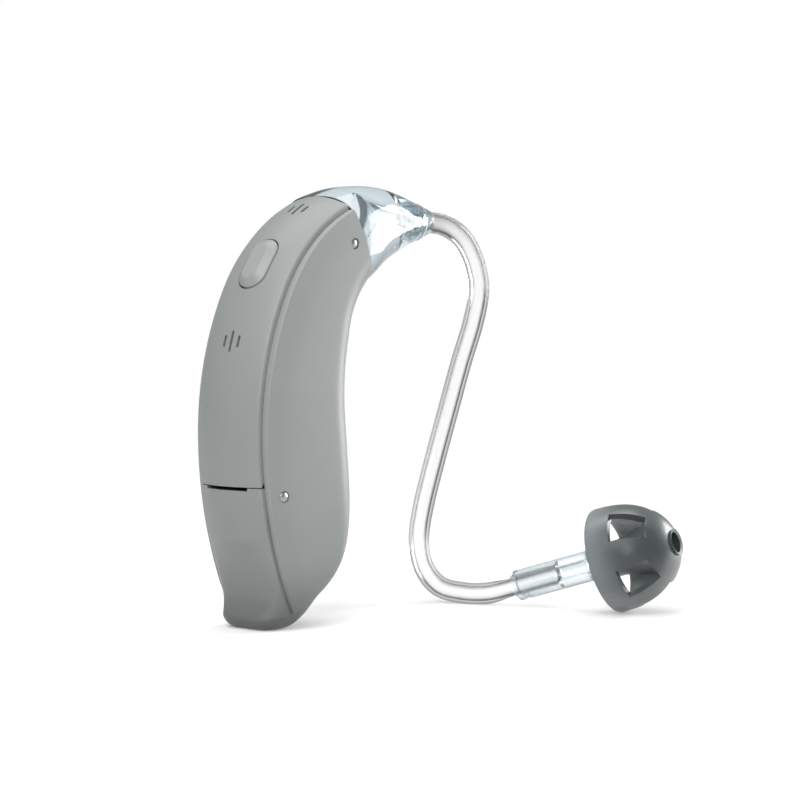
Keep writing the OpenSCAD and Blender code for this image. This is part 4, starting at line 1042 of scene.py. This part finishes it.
def mixed(tree, mask, low, high):
    """One shader fading into another."""
    mix = tree.nodes.new("ShaderNodeMixShader")
    for socket, value in zip(mix.inputs, (mask, low, high)):
        tree.links.new(value, socket)
    return mix.outputs[0]


def ramp(tree, value, low, high):
    """A smooth 0 to 1 as a value goes from low to high."""
    node = tree.nodes.new("ShaderNodeMapRange")
    node.interpolation_type = "SMOOTHSTEP"
    tree.links.new(value, node.inputs["Value"])
    node.inputs["From Min"].default_value = low
    node.inputs["From Max"].default_value = high
    return node.outputs["Result"]


def floor_paint():
    """White cloth that takes the shadows near the aid and melts into the backdrop further out."""
    paint = Paint("floor_white", Base_Color=(0.88, 0.88, 0.88), Roughness=0.9, Specular_IOR_Level=0.0,
                  Emission_Color=(1, 1, 1), Emission_Strength=0.22)
    tree = paint.tree
    bounce = tree.nodes.new("ShaderNodeBsdfDiffuse")
    bounce.inputs["Color"].default_value = (0.5, 0.5, 0.5, 1)
    ray = tree.nodes.new("ShaderNodeLightPath")
    length = tree.nodes.new("ShaderNodeVectorMath")
    length.operation = "LENGTH"
    tree.links.new(paint.place.socket, length.inputs[0])
    glow = plain_shader(tree, "ShaderNodeEmission", BACKDROP, 1.0)
    fade = ramp(tree, length.outputs["Value"], FLOOR_NEAR, FLOOR_FAR)
    out = mixed(tree, fade, paint.shader.outputs[0], glow)
    out = mixed(tree, ray.outputs["Is Diffuse Ray"], out, bounce.outputs[0])
    tree.links.new(out, tree.nodes["Material Output"].inputs[0])
    return paint.material


def studio():
    """White to the camera, dimmer as light, and bright through clear plastic only along the view."""
    world = bpy.data.worlds.new("studio")
    bpy.context.scene.world = world
    world.use_nodes = True
    tree = world.node_tree
    seen = plain_shader(tree, "ShaderNodeBackground", BACKDROP, 1.0)
    dim = plain_shader(tree, "ShaderNodeBackground", (0.9, 0.95, 1.0), 0.28)
    soft = plain_shader(tree, "ShaderNodeBackground", (1, 1, 1), 0.36)
    turned = tree.nodes.new("ShaderNodeVectorRotate")
    turned.rotation_type = "Z_AXIS"
    turned.inputs["Angle"].default_value = -turn
    way = tree.nodes.new("ShaderNodeTexCoord")
    tree.links.new(way.outputs["Generated"], turned.inputs["Vector"])
    parts = tree.nodes.new("ShaderNodeSeparateXYZ")
    tree.links.new(turned.outputs["Vector"], parts.inputs[0])
    window = tree.nodes.new("ShaderNodeMath")
    window.operation = "ABSOLUTE"
    tree.links.new(parts.outputs["Y"], window.inputs[0])
    path = tree.nodes.new("ShaderNodeLightPath")
    through = mixed(tree, ramp(tree, window.outputs[0], WINDOW_EDGE, WINDOW_FULL), dim, seen)
    lit = mixed(tree, path.outputs["Is Transmission Ray"], soft, through)
    out = mixed(tree, path.outputs["Is Camera Ray"], lit, seen)
    tree.links.new(out, tree.nodes["World Output"].inputs[0])


def softbox(name, spot, size, power):
    """A rectangular lamp that faces the middle of the view."""
    lamp = bpy.data.lights.new(name, "AREA")
    lamp.shape = "RECTANGLE"
    lamp.size = size[0] * MM
    lamp.size_y = size[1] * MM
    lamp.energy = power
    obj = bpy.data.objects.new(name, lamp)
    bpy.context.scene.collection.objects.link(obj)
    obj.location = Vector(spot) * MM
    obj.rotation_euler = (Vector(spot) - LOOK_AT).to_track_quat("Z", "Y").to_euler()


bm = bmesh.new()
bmesh.ops.create_grid(bm, x_segments=1, y_segments=1, size=FLOOR_SIZE)
floor = mesh_of("floor", bm)
floor.data.materials.append(floor_paint())
studio()
softbox("key", (-120, -60, 150), (120, 120), 0.19)
softbox("side", (225, -75, 50), (120, 160), 0.52)
softbox("edge", LOOK_AT + 230 * TO_CAMERA + Vector((-20, 0, 60)), (30, 30), 0.11)
softbox("top", (20, 20, 180), (160, 160), 0.14)

bpy.context.scene.view_settings.view_transform = "Standard"
bpy.context.view_layer.update()
